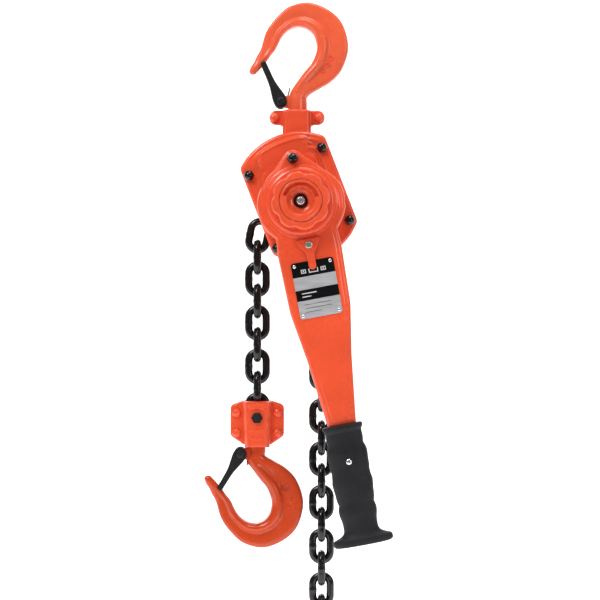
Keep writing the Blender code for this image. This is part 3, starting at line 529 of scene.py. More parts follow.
def put(name, data):
    obj = bpy.data.objects.new(name, data)
    bpy.context.scene.collection.objects.link(obj)
    return obj


def placed(at, lean):
    """Local millimetres to the world's: leaning counter-clockwise as seen from the front, then moved."""
    return Matrix.Translation(Vector(at)) @ Matrix.Rotation(-radians(lean), 4, "Y")


def piece(name, parts, finish, body, replaced=(), at=(0.0, 0.0, 0.0), lean=0.0, sharp=SHARP_FROM,
        matrix=None):
    """Join bmeshes into one named piece that rides on a body; a part may be (bmesh, finish number)."""
    whole = bmesh.new()
    finishes = finish if isinstance(finish, list) else [finish]
    for part in parts if isinstance(parts, list) else [parts]:
        bm, index = part if isinstance(part, tuple) else (part, 0)
        bmesh.ops.recalc_face_normals(bm, faces=bm.faces)
        for face in bm.faces:
            face.material_index = index
        held = bpy.data.meshes.new("held")
        bm.to_mesh(held)
        bm.free()
        whole.from_mesh(held)
        bpy.data.meshes.remove(held)
    mesh = bpy.data.meshes.new(name)
    whole.transform(Matrix.Scale(MM, 4) @ (matrix or placed(at, lean)))
    whole.to_mesh(mesh)
    whole.free()
    for mat in finishes:
        mesh.materials.append(mat)
    mesh.shade_smooth()
    mesh.set_sharp_from_angle(angle=radians(sharp))
    obj = put(name, mesh)
    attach(obj, body)
    if replaced:
        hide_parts(*replaced)


def lever_piece(name, parts, finish, replaced=(), body="lever", sharp=SHARP_FROM):
    """A piece drawn in the lever's own axes: the shaft at the origin, the arm down -Z."""
    piece(name, parts, finish, body, replaced, at=AT_LEVER, lean=LEVER_LEAN, sharp=sharp)


def frame_piece(name, parts, finish, replaced=(), sharp=SHARP_FROM):
    """A piece drawn in the leaning frame's own axes, with the plates' centre at the origin."""
    piece(name, parts, finish, "frame", replaced, at=AT_FRAME, lean=FRAME_LEAN, sharp=sharp)


# ---- hooks ----

# Inner edge x, z, outer edge x, z, thickness and bead, from the shank to the nose, about the bowl's
# centre. Bead is 0 on the round shank and 1 where the section has a bead along its inner edge.
HOOK_STATIONS = [
    (-9.5, -60.0, 17.0, -67.0, 26.0, 0.2),
    (0.0, -46.0, 29.5, -59.5, 27.0, 0.7),
    (9.0, -34.0, 45.0, -50.0, 27.0, 1.0),
    (18.0, -23.0, 58.5, -35.5, 27.0, 1.0),
    (24.0, -8.0, 67.5, -13.0, 27.0, 1.0),
    (24.5, 3.0, 68.0, 8.0, 27.0, 1.0),
    (21.0, 14.0, 59.0, 33.0, 27.0, 1.0),
    (13.0, 21.5, 40.5, 50.0, 27.0, 1.0),
    (2.0, 25.0, 14.0, 59.5, 27.0, 1.0),
    (-8.0, 23.5, -14.0, 53.0, 26.0, 1.0),
    (-17.0, 17.5, -33.0, 36.0, 24.0, 0.9),
    (-24.0, 9.0, -45.0, 18.0, 21.0, 0.8),
    (-31.0, -5.0, -51.3, -3.0, 18.0, 0.65),
    (-38.0, -14.0, -57.0, -14.0, 16.0, 0.45),
    (-43.6, -22.0, -61.2, -22.5, 14.5, 0.25),
    (-50.5, -30.0, -64.4, -27.2, 13.0, 0.05),
    (-54.8, -34.8, -66.3, -31.0, 12.0, 0.0),
    (-57.2, -37.2, -66.8, -33.0, 11.0, 0.0),
]

# Share of the width from the inner edge, and of the half thickness.
BEAD_SECTION = [(0.0, 0.0), (0.015, 0.42), (0.06, 0.72), (0.14, 0.93), (0.22, 1.0), (0.29, 0.94),
        (0.345, 0.76), (0.39, 0.60), (0.45, 0.555), (0.56, 0.58), (0.72, 0.61), (0.86, 0.60),
        (0.94, 0.54), (0.985, 0.36), (1.0, 0.0)]
SECTION = smooth_path(BEAD_SECTION, 2)


def hook_ring(station, flip, centre):
    ix, iz, ox, oz, thick, bead = station
    ring = []
    last = len(SECTION) - 1
    for k in list(range(last)) + [-k for k in range(last, 0, -1)]:
        across, depth = SECTION[abs(k)]
        angle = pi * abs(k) / last
        across = across * bead + (0.5 - 0.5 * cos(angle)) * (1.0 - bead)
        depth = max(0.0, depth) * bead + sin(angle) * (1.0 - bead)
        side = 1.0 if k >= 0 or abs(k) == last else -1.0
        ring.append((centre[0] + ix + (ox - ix) * across, side * depth * thick / 2.0,
                centre[1] + flip * (iz + (oz - iz) * across)))
    return ring


def nose_cap(station, before, flip, centre):
    """Rings that close the nose in a round tip."""
    rings = []
    mid = Vector(((station[0] + station[2]) / 2.0, (station[1] + station[3]) / 2.0))
    way = (mid - Vector(((before[0] + before[2]) / 2.0, (before[1] + before[3]) / 2.0))).normalized()
    half = math.dist(station[:2], station[2:4]) / 2.0
    for degrees in (15.0, 30.0, 45.0, 60.0, 73.0, 84.0):
        a = radians(degrees)
        reach = way * half * sin(a)
        size = cos(a)
        shrunk = []
        for i in (0, 2):
            shrunk.append(mid.x + (station[i] - mid.x) * size + reach.x)
            shrunk.append(mid.y + (station[i + 1] - mid.y) * size + reach.y)
        rings.append(hook_ring((*shrunk, station[4] * size, 0.0), flip, centre))
    return rings


def hook_forging(centre, flip, shank, neck, pivot):
    """Body, neck and latch lug of a hook. Shank is left, right and the shoulder's distance from the
    bowl's centre, neck is radius and length, and pivot is in the world."""
    left, right, shoulder = shank
    neck_r, neck_length = neck
    wide = right - left
    shank_stations = [(left, -shoulder, right, -shoulder, wide, 0.0),
            (left, -78.0, right, -78.0, wide, 0.0), (left, -72.0, right, -72.5, wide, 0.0)]
    path = smooth_path(shank_stations + HOOK_STATIONS, 6)
    rings = [hook_ring(station, flip, centre) for station in path]
    rings += nose_cap(path[-1], path[-5], flip, centre)
    axis_x = centre[0] + (left + right) / 2.0
    base = centre[1] - flip * (shoulder - NECK_SUNK)
    tip = centre[1] - flip * (shoulder + neck_length)
    stem = skin([[(x, y, z) for x, y in circle(axis_x, 0.0, neck_r, 48)] for z in (base, tip)])
    root = centre[0] + left + 7.0
    px, pz = pivot
    lug = slab(rounded([(px - 6.5, pz - 6.5, 6.4), (root, pz - 9.5, 0), (root, pz + 9.5, 0),
            (px - 6.5, pz + 6.5, 6.4)]), LUG_HALF, -LUG_HALF, 1.5, 1.5)
    return [skin(rings), stem, lug]


def forged_nub(x, y, z, radius, height):
    """A low forged nub on the front face."""
    return dome(x, z, y, height, radius, FRONT, 0.0, 24)


def forged_ring(x, y, z, radius, wire):
    """A low forged ring on the front face."""
    return tube(at_depth(y, circle(x, z, radius, 40)), wire, 8, True)


def hooks():
    top_pivot = joint_spot("top_latch_hinge")
    bottom_pivot = joint_spot("bottom_latch_hinge")
    parts = hook_forging(TOP_BOWL, 1.0, (-14.0, 12.0, 88.6), (8.4, 9.0), top_pivot)
    x, z = TOP_BOWL
    parts.append(forged_nub(x - 3.0, -12.3, z - 63.0, 2.0, 1.7))
    parts.append(forged_nub(x - 56.4, -5.4, z - 27.8, 2.1, 1.5))
    reach = 49.0
    for k in range(3):
        a = radians(-22.0 - 12.0 * k)
        parts.append(forged_ring(x + reach * cos(a), HOOK_WEB, z + 1.0 + reach * sin(a),
                3.4 - 0.4 * k, 0.55))
    piece("top_hook_forging", parts, HOOK_PAINT, "top_hook", ["top_hook"])
    parts = hook_forging(BOTTOM_BOWL, -1.0, (-6.1, 16.9, 79.2), (7.3, 9.0), bottom_pivot)
    x, z = BOTTOM_BOWL
    for radius, wire in ((5.4, 0.6), (3.0, 0.5)):
        parts.append(forged_ring(x + 42.5, HOOK_WEB, z + 24.0, radius, wire))
    for k in range(3):
        parts.append(forged_nub(x + 52.0 - 1.2 * k, HOOK_WEB + 0.6, z + 9.0 - 6.0 * k, 1.5, 1.1))
    piece("bottom_hook_forging", parts, SHADED_HOOK_PAINT, "bottom_hook", ["bottom_hook"])
    latch("top", top_pivot, (TOP_BOWL[0] - 49.0, TOP_BOWL[1] - 22.5), 1.0, ((8.6, 4.0), (12.6, 18.7)))
    latch("bottom", bottom_pivot, (BOTTOM_BOWL[0] - 47.3, BOTTOM_BOWL[1] + 20.5), -1.0,
          ((8.6, -3.0), (9.6, -15.5)))


def latch(which, pivot, tip, flip, leg):
    """Two pressed cheeks joined by a web, on a pin with a torsion spring; leg is the spring's free leg."""
    length = math.dist(pivot, tip)
    waist = length * 0.47
    outline = rounded([(-9.0, -9.0, 8.8), (9.0, -9.0, 8.8), (9.0, 6.0, 10.0), (4.2, waist, 60.0),
            (3.8, length, 3.3), (-3.9, length, 3.3), (-4.6, waist, 70.0), (-9.0, 7.0, 9.0)], 8.0)
    parts = [slab(outline, side * CHEEK_INNER, side * CHEEK_OUTER, 0.5, 0.9) for side in (FRONT, REAR)]
    web_low = 17.0
    web_high = length - 15.0
    web = [(-3.0, web_low), (3.0, web_low), (2.0, web_high), (-2.0, web_high)]
    parts.append(slab(web, 8.4, -8.4, 0.3, 0.3))
    heading = math.degrees(math.atan2(tip[0] - pivot[0], tip[1] - pivot[1]))
    at = (pivot[0], 0.0, pivot[1])
    node = which + "_latch"
    piece(node + "_pressing", parts, SATIN_BLACK, node, [node], at=at, lean=-heading)
    pin = lathe(mirrored([(-12.4, 0.8, 0.0), (-12.4, 4.6, 1.6), (-10.5, 5.6, 0.5), (-10.3, 3.0, 0.0)]), 40)
    piece(node + "_pin_rivet", pin, SATIN_BLACK, which + "_hook", [node + "_pin"], at=at)
    coil = []
    for k in range(COIL_STEPS + 1):
        a = radians(180.0 - 20.0 * k)
        coil.append((COIL_R * cos(a), -flip * COIL_R * sin(a)))
    (foot_x, foot_z), (end_x, end_z) = leg
    wires = []
    for side in (FRONT, REAR):
        turns = [(x, side * (COIL_INNER + 3.4 * k / COIL_STEPS), z) for k, (x, z) in enumerate(coil)]
        free_leg = [(COIL_R, side * COIL_INNER, 0.0), (foot_x, side * LEG_Y, foot_z),
                (end_x, side * LEG_Y, end_z)]
        wires += [tube(turns, SPRING_WIRE_R, 8), tube(free_leg, SPRING_WIRE_R, 8)]
    wires.append(tube([(end_x, -LEG_Y, end_z), (end_x, LEG_Y, end_z)], SPRING_WIRE_R, 8))
    piece(node + "_spring", wires, DARK_STEEL, which + "_hook", at=at)


# ---- yoke ----

def yoke():
    """Two halves riveted through their ears, each with a stepped collar and a tang between the plates."""
    ears = rounded([(-38.7, -134.2, 9.4), (-38.7, -114.6, 9.4), (37.1, -114.6, 9.4), (37.1, -134.2, 9.4),
            (18.5, -134.2, 7.0), (14.5, -150.0, 0), (-16.0, -150.0, 0), (-20.5, -134.2, 7.0)])
    collar = rounded([(-20.4, -151.0, 2.2), (-20.4, -114.5, 2.6), (18.4, -114.5, 2.6), (18.4, -151.0, 2.2)])
    block = rounded([(-17.6, -151.0, 3.0), (-17.6, -114.3, 3.4), (15.4, -114.3, 3.4), (15.4, -151.0, 3.0)])
    tang = rounded([(-13.0, -172.0, 11.0), (-13.0, -140.0, 0), (11.5, -140.0, 0), (11.5, -172.0, 11.0)])
    for side, which in ((FRONT, "front"), (REAR, "rear")):
        parts = [slab(outline, side * HALF_GAP, side * reach, 0.3, rim) for outline, reach, rim in
                ((ears, YOKE_EAR, 2.6), (collar, 12.5, 1.6), (block, 20.0, 2.4), (tang, 19.0, 1.2))]
        piece("yoke_half_" + which, parts, PAINT, "yoke", ["top_yoke_" + which])
    for which in ("left", "right"):
        spot = middle("top_yoke_rivet_" + which)
        heads = domes_both_sides(spot.x, spot.z, YOKE_EAR, 5.2, 6.3, 0.8)
        piece("yoke_rivet_" + which, heads, PAINT, "yoke", ["top_yoke_rivet_" + which])


# ---- frame ----

def frame_outline(edge=0.0, corner=11.0):
    """Two round ends, the lower one nearer, and two straight parallel sides."""
    side = FRAME_SIDE - edge
    corners = []
    for base, full in ((0.0, FRAME_R), (180.0, FRAME_LOW_R)):
        radius = full - edge
        reach = math.degrees(math.asin(side / radius))
        count = 24
        for k in range(count + 1):
            a = radians(base - reach + 2.0 * reach * k / count)
            if k in (1, 2, count - 2, count - 1):
                continue
            corners.append((radius * sin(a), radius * cos(a), corner if k in (0, count) else 0.0))
    return rounded(corners)


def to_frame(x, z):
    a = radians(FRAME_LEAN)
    x, z = x - FRAME_CENTRE[0], z - FRAME_CENTRE[1]
    return (x * cos(a) + z * sin(a), -x * sin(a) + z * cos(a))


def to_world(x, z):
    a = radians(FRAME_LEAN)
    return (FRAME_CENTRE[0] + x * cos(a) - z * sin(a),
            FRAME_CENTRE[1] + x * sin(a) + z * cos(a))


def along(x, z, a, b):
    """Distance from a point to the stretch from a to b."""
    ex, ez = b[0] - a[0], b[1] - a[1]
    t = min(1.0, max(0.0, ((x - a[0]) * ex + (z - a[1]) * ez) / (ex * ex + ez * ez)))
    return hypot(x - a[0] - ex * t, z - a[1] - ez * t)


def from_polygon(x, z, corners):
    """Signed distance to a polygon, negative inside."""
    best = math.inf
    inside = False
    for (ax, az), (bx, bz) in zip(corners, corners[1:] + corners[:1]):
        best = min(best, along(x, z, (ax, az), (bx, bz)))
        if (az > z) != (bz > z) and x < (bx - ax) * (z - az) / (bz - az) + ax:
            inside = not inside
    return -best if inside else best


def ease(value, low, high):
    t = min(1.0, max(0.0, (value - low) / (high - low)))
    return t * t * (3.0 - 2.0 * t)


# World corners of the cover's raised pad, clockwise from the left.
PAD = [(-51.0, -203.0), (-56.5, -178.0), (-50.0, -171.5), (-33.0, -162.0), (-12.0, -154.0), (7.0, -150.0),
       (12.0, -152.0), (33.0, -193.0), (48.0, -232.0), (40.0, -280.0), (-8.0, -292.0), (-42.0, -262.0)]
GROOVE = ((11.0, -150.0), (31.0, -189.0))
RIDGE = ((15.2, -149.5), (36.0, -188.0))


def cover_height(x, z):
    """How far the cover's pressing stands in front of its flange, at a world point."""
    from_pad = from_polygon(x, z, PAD)
    pad = PAD_RISE * (1.0 - ease(from_pad, -2.6, 1.0))
    bead = 1.2 * exp(-(from_pad + 3.8) ** 2 / 2.6)
    groove = 3.4 * exp(-along(x, z, *GROOVE) ** 2 / 2.0)
    ridge = 4.2 * exp(-along(x, z, *RIDGE) ** 2 / 3.0)
    r = hypot(x - SHAFT[0], z - SHAFT[1])
    cup = CUP_RISE * (1.0 - ease(r, 46.0, 61.0))
    low = max(0.0, pad + bead - groove + ridge * (1.0 - ease(r, 40.0, 30.0)))
    h = max(0.0, CUP_BLEND - abs(low - cup)) / CUP_BLEND
    return max(low, cup) + h * h * CUP_BLEND * 0.25


def front_cover():
    """One pressed sheet: flange, ridged pad and the cup that the brake turns in."""
    outline = turned_way(frame_outline(1.0, 10.0))
    centre = to_frame(*SHAFT)
    flange = 1.2
    edge = [(0.9, COVER_BACK), (0.3, COVER_BACK - 0.3), (0.0, COVER_BACK - 1.0),
            (0.1, COVER_FACE + 1.0), (0.5, COVER_FACE + 0.3), (flange, COVER_FACE)]
    rings = [at_depth(y, inset(outline, d)) for d, y in edge]
    rim = inset(outline, flange)
    count = 84
    for k in range(1, count):
        t = 1.0 - k / count
        ring = []
        for x, z in rim:
            px = centre[0] + (x - centre[0]) * t
            pz = centre[1] + (z - centre[1]) * t
            ring.append((px, COVER_FACE - cover_height(*to_world(px, pz)), pz))
        rings.append(ring)
    frame_piece("front_cover_pressing", skin(rings), PAINT, ["front_cover"], sharp=50.0)


def stadium(radius, half, count=28):
    """Two half circles joined by straight sides, upright."""
    angles = [pi * k / count for k in range(count + 1)]
    return [(way * radius * cos(a), way * (half + radius * sin(a)))
            for way in (1.0, -1.0) for a in angles]


def gear_case():
    """Rear casting: flange, deep cup with a drafted wall, a raised panel and bearing bosses."""
    sx, sz = to_frame(*SHAFT)
    ring = [(x + sx, z + sz) for x, z in stadium(39.5, GEAR_CENTRES - 1.5)]
    fillet = 4.0
    steps = [(-5.0, CASE_FACE - 0.4)]
    for a in quarter_turn(6):
        steps.append((-fillet * (1.0 - sin(a)), CASE_FACE + fillet * (1.0 - cos(a))))
    for a in quarter_turn(9):
        steps.append((1.0 + 8.0 * (1.0 - cos(a)), 52.0 + 7.5 * sin(a)))
    steps += [(10.5, 59.5), (11.2, 60.2), (12.4, 60.6), (13.0, 60.6)]
    parts = [slab(frame_outline(1.0, 10.0), CASE_BACK, CASE_FACE, 0.5, 1.1), terrace(ring, steps)]
    boss = [(59.0, 11.5, 0.0), (60.4, 11.0, 0.4), (60.9, 9.8, 0.4), (60.9, 6.0, 0.3), (60.0, 5.0, 0.3),
            (60.0, 0.4, 0.0)]
    for s in (-1.0, 0.0, 1.0):
        parts.append(lathe(boss, 48, centre=(sx, sz + s * GEAR_CENTRES)))
    frame_piece("gear_case_casting", parts, PAINT, ["gear_case"])
    screws = []
    for across, up in ((1.0, 1.0), (-1.0, 1.0), (-1.0, -1.0), (1.0, -1.0)):
        z = sz + (GEAR_CENTRES - 8.0) * up
        screws.append(hex_head(sx + 45.6 * across, z, CASE_FACE, 3.6, 3.2, REAR))
    frame_piece("gear_case_screws", screws, NUT_BLACK)


def side_plates():
    for which, side in (("front", FRONT), ("rear", REAR)):
        plate = slab(frame_outline(), side * PLATE_INNER, side * PLATE_OUTER, 0.8, 0.8)
        frame_piece(which + "_plate_blank", plate, PAINT, [which + "_side_plate"])


def hexagon(r, share):
    """Radius of a hexagon's outline by angle; share is how much of the hexagon shows."""
    def reach(a):
        flat_r = cos(pi / 6.0) / cos(a % (pi / 3.0) - pi / 6.0)
        return r * (1.0 + (flat_r - 1.0) * share * 0.8)
    return reach


def cap_nuts():
    """Domed hexagon nuts on the cover, and the stay bolts' riveted heads on the gear case."""
    base = COVER_FACE - 0.2
    levels = [(base, hexagon(6.9, 1.0)), (base - 0.4, hexagon(7.5, 1.0)), (base - 2.8, hexagon(7.5, 1.0)),
            (base - 3.6, hexagon(7.0, 0.4))]
    for k in range(10):
        a = radians(4.0 + 9.3 * k)
        levels.append((base - 4.0 - 6.2 * sin(a), 6.7 * cos(a)))
    for which in CORNERS:
        spot = middle("cap_nut_" + which)
        nut = turned(levels, 60, False, spot.x, spot.z)
        piece("domed_nut_" + which, nut, NUT_BLACK, "frame", ["cap_nut_" + which])
        head = dome(spot.x, spot.z, CASE_FACE, 5.4, 8.2, REAR, 1.0)
        piece("stay_rivet_head_" + which, head, PAINT, "frame")


# ---- lever ----

def lever_shape(lobe, flank, arm, step):
    """Round head with straight flanks up to a nut lobe, and an arm, down the lever's own -Z.
    Flank is the flank's lower left corner, on the head's circle, and arm the corners below the head."""
    head_r = -flank[0]
    left = [flank]
    for degrees in range(196, 231, 5):
        a = radians(degrees)
        left.append((head_r * cos(a), head_r * sin(a), 0.0))
    left += arm
    return rounded([lobe] + mirrored(left), step)


def rim_share(x, z):
    """The rounded rim is narrower round the nut lobe."""
    return 1.0 - 0.55 * ease(z, 30.0, 58.0)


def lever_arm():
    outline = lever_shape((0.0, 76.0, 12.5), (-60.5, 15.5, 42.0),
            [(-43.5, -66.0, 22.0), (-41.3, -146.0, 70.0), (-30.0, -215.0, 200.0),
            (-19.2, -306.0, 0.0)], 5.0)
    steps = [(1.6, LEVER_REAR), (1.2, LEVER_REAR), (0.35, LEVER_REAR - 0.4), (0.0, LEVER_REAR - 1.2),
            (0.0, -67.0), (0.25, -69.0), (0.9, -70.7), (2.0, -71.9), (3.6, -72.7), (5.6, -73.1),
            (7.0, -73.25), (7.8, -73.5), (8.5, -73.9), (9.2, LEVER_FRONT), (9.8, LEVER_FRONT)]
    collar = lathe([(-72.5, 51.0, 0.0), (-74.0, 49.8, 1.0), (-74.7, 47.6, 0.8), (-75.0, 46.0, 0.5),
            (-77.9, 44.4, 1.2), (-79.0, 42.0, 1.2), (-79.0, 21.0, 0.0), (-72.5, 21.0, 0.0)],
            96, closed=True)
    lever_piece("lever_housing", [terrace(outline, steps, rim_share), collar], PAINT,
            ["lever_arm"])
    base = LEVER_FRONT + 0.2
    nut = lathe([(base, 0.6, 0.0), (base, 7.4, 0.0), (base - 2.6, 7.4, 0.6), (base - 4.6, 7.0, 1.4),
            (base - 8.0, 5.6, 3.0), (base - 9.9, 2.6, 2.4), (base - 10.2, 0.3, 0.0)], 48,
            centre=(0.0, 59.0))
    lever_piece("lobe_nut", nut, NUT_BLACK)
    outline = lever_shape((0.0, 75.2, 12.0), (-59.8, 15.0, 42.0),
            [(-42.8, -66.0, 22.0), (-40.6, -150.0, 9.0)], 6.0)
    lid = slab(outline, LEVER_REAR + 0.2, LEVER_REAR + 3.0, 0.4, 1.0)
    lever_piece("lever_lid", lid, PAINT, ["lever_cover"])
    rivets = [dome(x, z, LEVER_REAR + 2.9, 2.4, 3.6, REAR, 0.4) for x, z in
            ((0.0, 59.5), (-45.0, -36.0), (45.0, -36.0), (-33.0, -138.0), (33.0, -138.0))]
    lever_piece("lever_lid_rivets", rivets, ZINC)


def selector():
    """Changeover lever: a winged plate with a tail, on a rivet."""
    plate = rounded(mirrored([(10.0, 8.0, 6.0), (18.4, 8.8, 2.6), (7.4, -8.6, 6.0), (5.2, -12.5, 8.0),
            (5.2, -33.6, 5.0)]))
    at = (SELECTOR[0], 0.0, SELECTOR[1])
    piece("selector_plate", slab(plate, LEVER_FRONT - 1.5, LEVER_FRONT - 4.6, 0.4, 1.2), PAINT, "selector",
          ["selector_lever"], at=at, lean=LEVER_LEAN)
    f = LEVER_FRONT
    head = lathe([(f - 2.0, 0.5, 0.0), (f - 2.0, 5.0, 0.0), (f - 5.6, 5.0, 0.7), (f - 6.1, 3.6, 0.6),
            (f - 5.7, 2.4, 0.3), (f - 5.7, 0.3, 0.0)], 40)
    piece("selector_rivet", head, ZINC, "selector", at=at, lean=LEVER_LEAN)


def plate_bar(x, z, wide, high):
    """A printed bar that stands just proud of the name plate."""
    outline = [(x - wide / 2, z - high / 2), (x + wide / 2, z - high / 2), (x + wide / 2, z + high / 2),
            (x - wide / 2, z + high / 2)]
    return terrace(outline, [(0.0, LABEL_FACE + 0.1), (0.0, LABEL_FACE - 0.12)])


def name_plate():
    """Printed plate in black and silver bands, four rivets, and plain symbols only."""
    height = LABEL_TOP - LABEL_LOW
    parts = []
    for k, (start, end) in enumerate(((0.0, 0.26), (0.26, 0.49), (0.49, 0.68), (0.68, 1.0))):
        top = LABEL_TOP - height * start
        low = LABEL_TOP - height * end
        corner_top = LABEL_CORNER if start == 0.0 else 0.0
        corner_low = LABEL_CORNER if end == 1.0 else 0.0
        outline = rounded(mirrored([(-LABEL_HALF, top, corner_top), (-LABEL_HALF, low, corner_low)]))
        band = terrace(outline, [(0.0, LABEL_BACK), (0.0, LABEL_FACE + 0.12), (0.05, LABEL_FACE)])
        parts.append((band, k % 2))
    lever_piece("name_plate_sheet", parts, [PLATE_BLACK, PLATE_SILVER], ["name_plate"])
    in_from_edge = 4.4
    rivets = [dome(x, z, LABEL_FACE, 1.6, 2.5, FRONT, 0.2, 24)
            for x in (-LABEL_HALF + in_from_edge, LABEL_HALF - in_from_edge)
            for z in (LABEL_TOP - in_from_edge, LABEL_LOW + in_from_edge)]
    lever_piece("name_plate_rivets", rivets, BRIGHT)
    symbols = []
    for x in (-13.4, 13.4):
        z = LABEL_TOP - 12.8
        for s in (-1.0, 1.0):
            symbols.append(plate_bar(x + s * 2.9, z, 1.0, 5.2))
            symbols.append(plate_bar(x, z + s * 2.1, 4.8, 1.0))
        symbols.append(plate_bar(x, z, 1.7, 1.7))
    for s in (-1.0, 1.0):
        symbols.append(plate_bar(s * 5.8, LABEL_TOP - 12.6, 1.3, 5.0))
    symbols.append(plate_bar(0.0, LABEL_TOP - 15.2, 12.9, 1.3))
    for k, wide in enumerate((20.0, 12.0)):
        z = LABEL_TOP - height * 0.555 - 4.4 * k
        symbols.append(plate_bar(-24.0 + wide / 2 + 3.0, z, wide, 1.2))
    lever_piece("name_plate_symbols", symbols, PLATE_WHITE)
    rules = [plate_bar(-20.0 + wide / 2, LABEL_TOP - height * 0.755 - 5.0 * k, wide, 0.55)
            for k, wide in enumerate((36.0, 36.0, 22.0))]
    lever_piece("name_plate_rules", rules, PLATE_BLACK)


# Distance from the shaft, half width and half depth.
GRIP_SECTIONS = [
    (304.4, 25.8, 14.2), (305.4, 27.0, 15.0), (309.0, 26.9, 15.0), (311.6, 25.6, 14.4), (314.5, 24.6, 13.6),
    (322.0, 24.9, 13.9), (340.0, 26.0, 14.9), (362.0, 26.7, 15.6), (395.0, 26.2, 15.4), (420.0, 24.8, 14.6),
    (438.0, 23.4, 14.0), (448.0, 24.0, 14.4), (453.0, 28.5, 15.6), (456.0, 35.0, 16.8), (457.8, 39.2, 17.6),
    (461.0, 40.5, 18.0), (464.3, 40.3, 17.9), (466.2, 38.4, 17.2), (467.0, 35.0, 16.0), (467.0, 20.0, 9.0),
]


def grip_wave(r):
    """Finger swells: each starts with a short step and fades out."""
    total = 0.0
    for notch in (331.0, 371.0, 411.0):
        d = r - notch
        total -= 1.5 * exp(-(d / 4.2) ** 2)
        total += 1.2 * exp(-((d - 12.0) / 8.0) ** 2)
    return total


def grip():
    count = 96
    squareness = 0.8                    # below 1, a section fills out towards a rectangle
    rings = []
    for r, half, depth in smooth_path(GRIP_SECTIONS, 5):
        inside = ease(r, 316.0, 326.0) * (1.0 - ease(r, 426.0, 442.0))
        wave = grip_wave(r) * inside
        ring = []
        for k in range(count):
            a = tau * k / count
            c, s = cos(a), sin(a)
            across = copysign(abs(c) ** squareness, c)
            deep = copysign(abs(s) ** squareness, s)
            side = 0.35 + 0.65 * abs(c)
            ring.append((across * (half + wave * side), GRIP_Y + deep * (depth + 0.5 * wave), -r))
        rings.append(ring)
    lever_piece("rubber_grip", skin(rings), RUBBER, ["grip"], sharp=60.0)
    heads = [dome(0.0, -354.0, GRIP_Y + side * 15.2, 2.2, 4.1, side, 0.3) for side in (FRONT, REAR)]
    lever_piece("grip_rivet", heads, BRIGHT)


# ---- hand wheel ----

def wheel_rim(angle, cut=0.0):
    """Radius of the eight-lobed rim, less a cut."""
    wave = cos(8.0 * (angle - LOBE_PHASE))
    return WHEEL_R - cut - 3.2 * (0.5 - 0.5 * wave) ** 2.4


def slot_floor(y_flat, depth):
    """The wheel's face at a radius that its curved slot crosses: the slot is in the upper part only."""
    def y_at(angle):
        degrees = math.degrees(angle) % 360.0
        return y_flat + depth * (ease(degrees, 2.5, 4.5) * (1.0 - ease(degrees, 150.5, 152.5)))
    return y_at


def nut_slots(r, depth):
    """Radius of the castle nut by angle, with six slots."""
    return lambda a: r - (depth if cos(6.0 * a) < -0.35 else 0.0)


def hand_wheel():
    f = WHEEL_FRONT
    # y and radius, each a number or a function of the angle.
    levels = [(WHEEL_REAR, 9.6), (WHEEL_REAR, 34.0), (WHEEL_REAR - 0.6, lambda a: wheel_rim(a, 2.0)),
            (WHEEL_REAR - 2.6, lambda a: wheel_rim(a, 0.3)), (WHEEL_REAR - 5.0, wheel_rim),
            (f + 4.6, wheel_rim)]
    for b in quarter_turn(6)[1:]:
        cut = 3.6 * (1.0 - cos(b))
        levels.append((f + 4.0 - 4.0 * sin(b), lambda a, cut=cut: wheel_rim(a, cut)))
    levels += [(f, 32.0), (f, 29.7), (f + 0.4, 29.2), (f + 2.4, 29.1), (f + 2.4, 28.1), (f + 0.4, 28.0),
            (f + 0.1, 27.6), (f, 27.0), (f, 25.4), (f + 0.1, 25.0), (f + 0.3, 24.7),
            (slot_floor(f + 0.3, 3.2), 24.4), (slot_floor(f + 0.4, 3.6), 24.0),
            (slot_floor(f + 0.4, 3.6), 20.4), (slot_floor(f + 0.5, 2.2), 19.8),
            (f + 0.9, 19.2), (f + 1.8, 18.5), (f + 3.6, 17.4), (f + 5.6, 16.0), (f + 7.0, 14.0),
            (f + 8.0, 12.0), (f + 8.4, 10.4), (f + 9.0, 9.6)]
    lever_piece("hand_wheel_knob", turned(levels, 288, True), PAINT, ["hand_wheel"],
            "hand_wheel", 40.0)
    slots = [(-92.0, 5.9), (-92.0, 8.2), (-96.6, 8.3), (-97.4, nut_slots(8.2, 0.9)),
            (-100.4, nut_slots(8.0, 1.5)), (-101.2, nut_slots(7.2, 1.5)), (-101.2, 5.9)]
    lever_piece("slotted_nut", turned(slots, 72, True), NUT_BLACK, ["castle_nut"], "pinion")
    end = lathe([(-90.0, 5.6, 0.0), (-102.4, 5.6, 1.2), (-103.6, 4.4, 0.5), (-103.6, 2.2, 0.3),
            (-100.2, 2.0, 0.3), (-99.4, 0.2, 0.0)], 48)
    lever_piece("shaft_end", end, BRIGHT, body="pinion")


# ---- bottom block ----

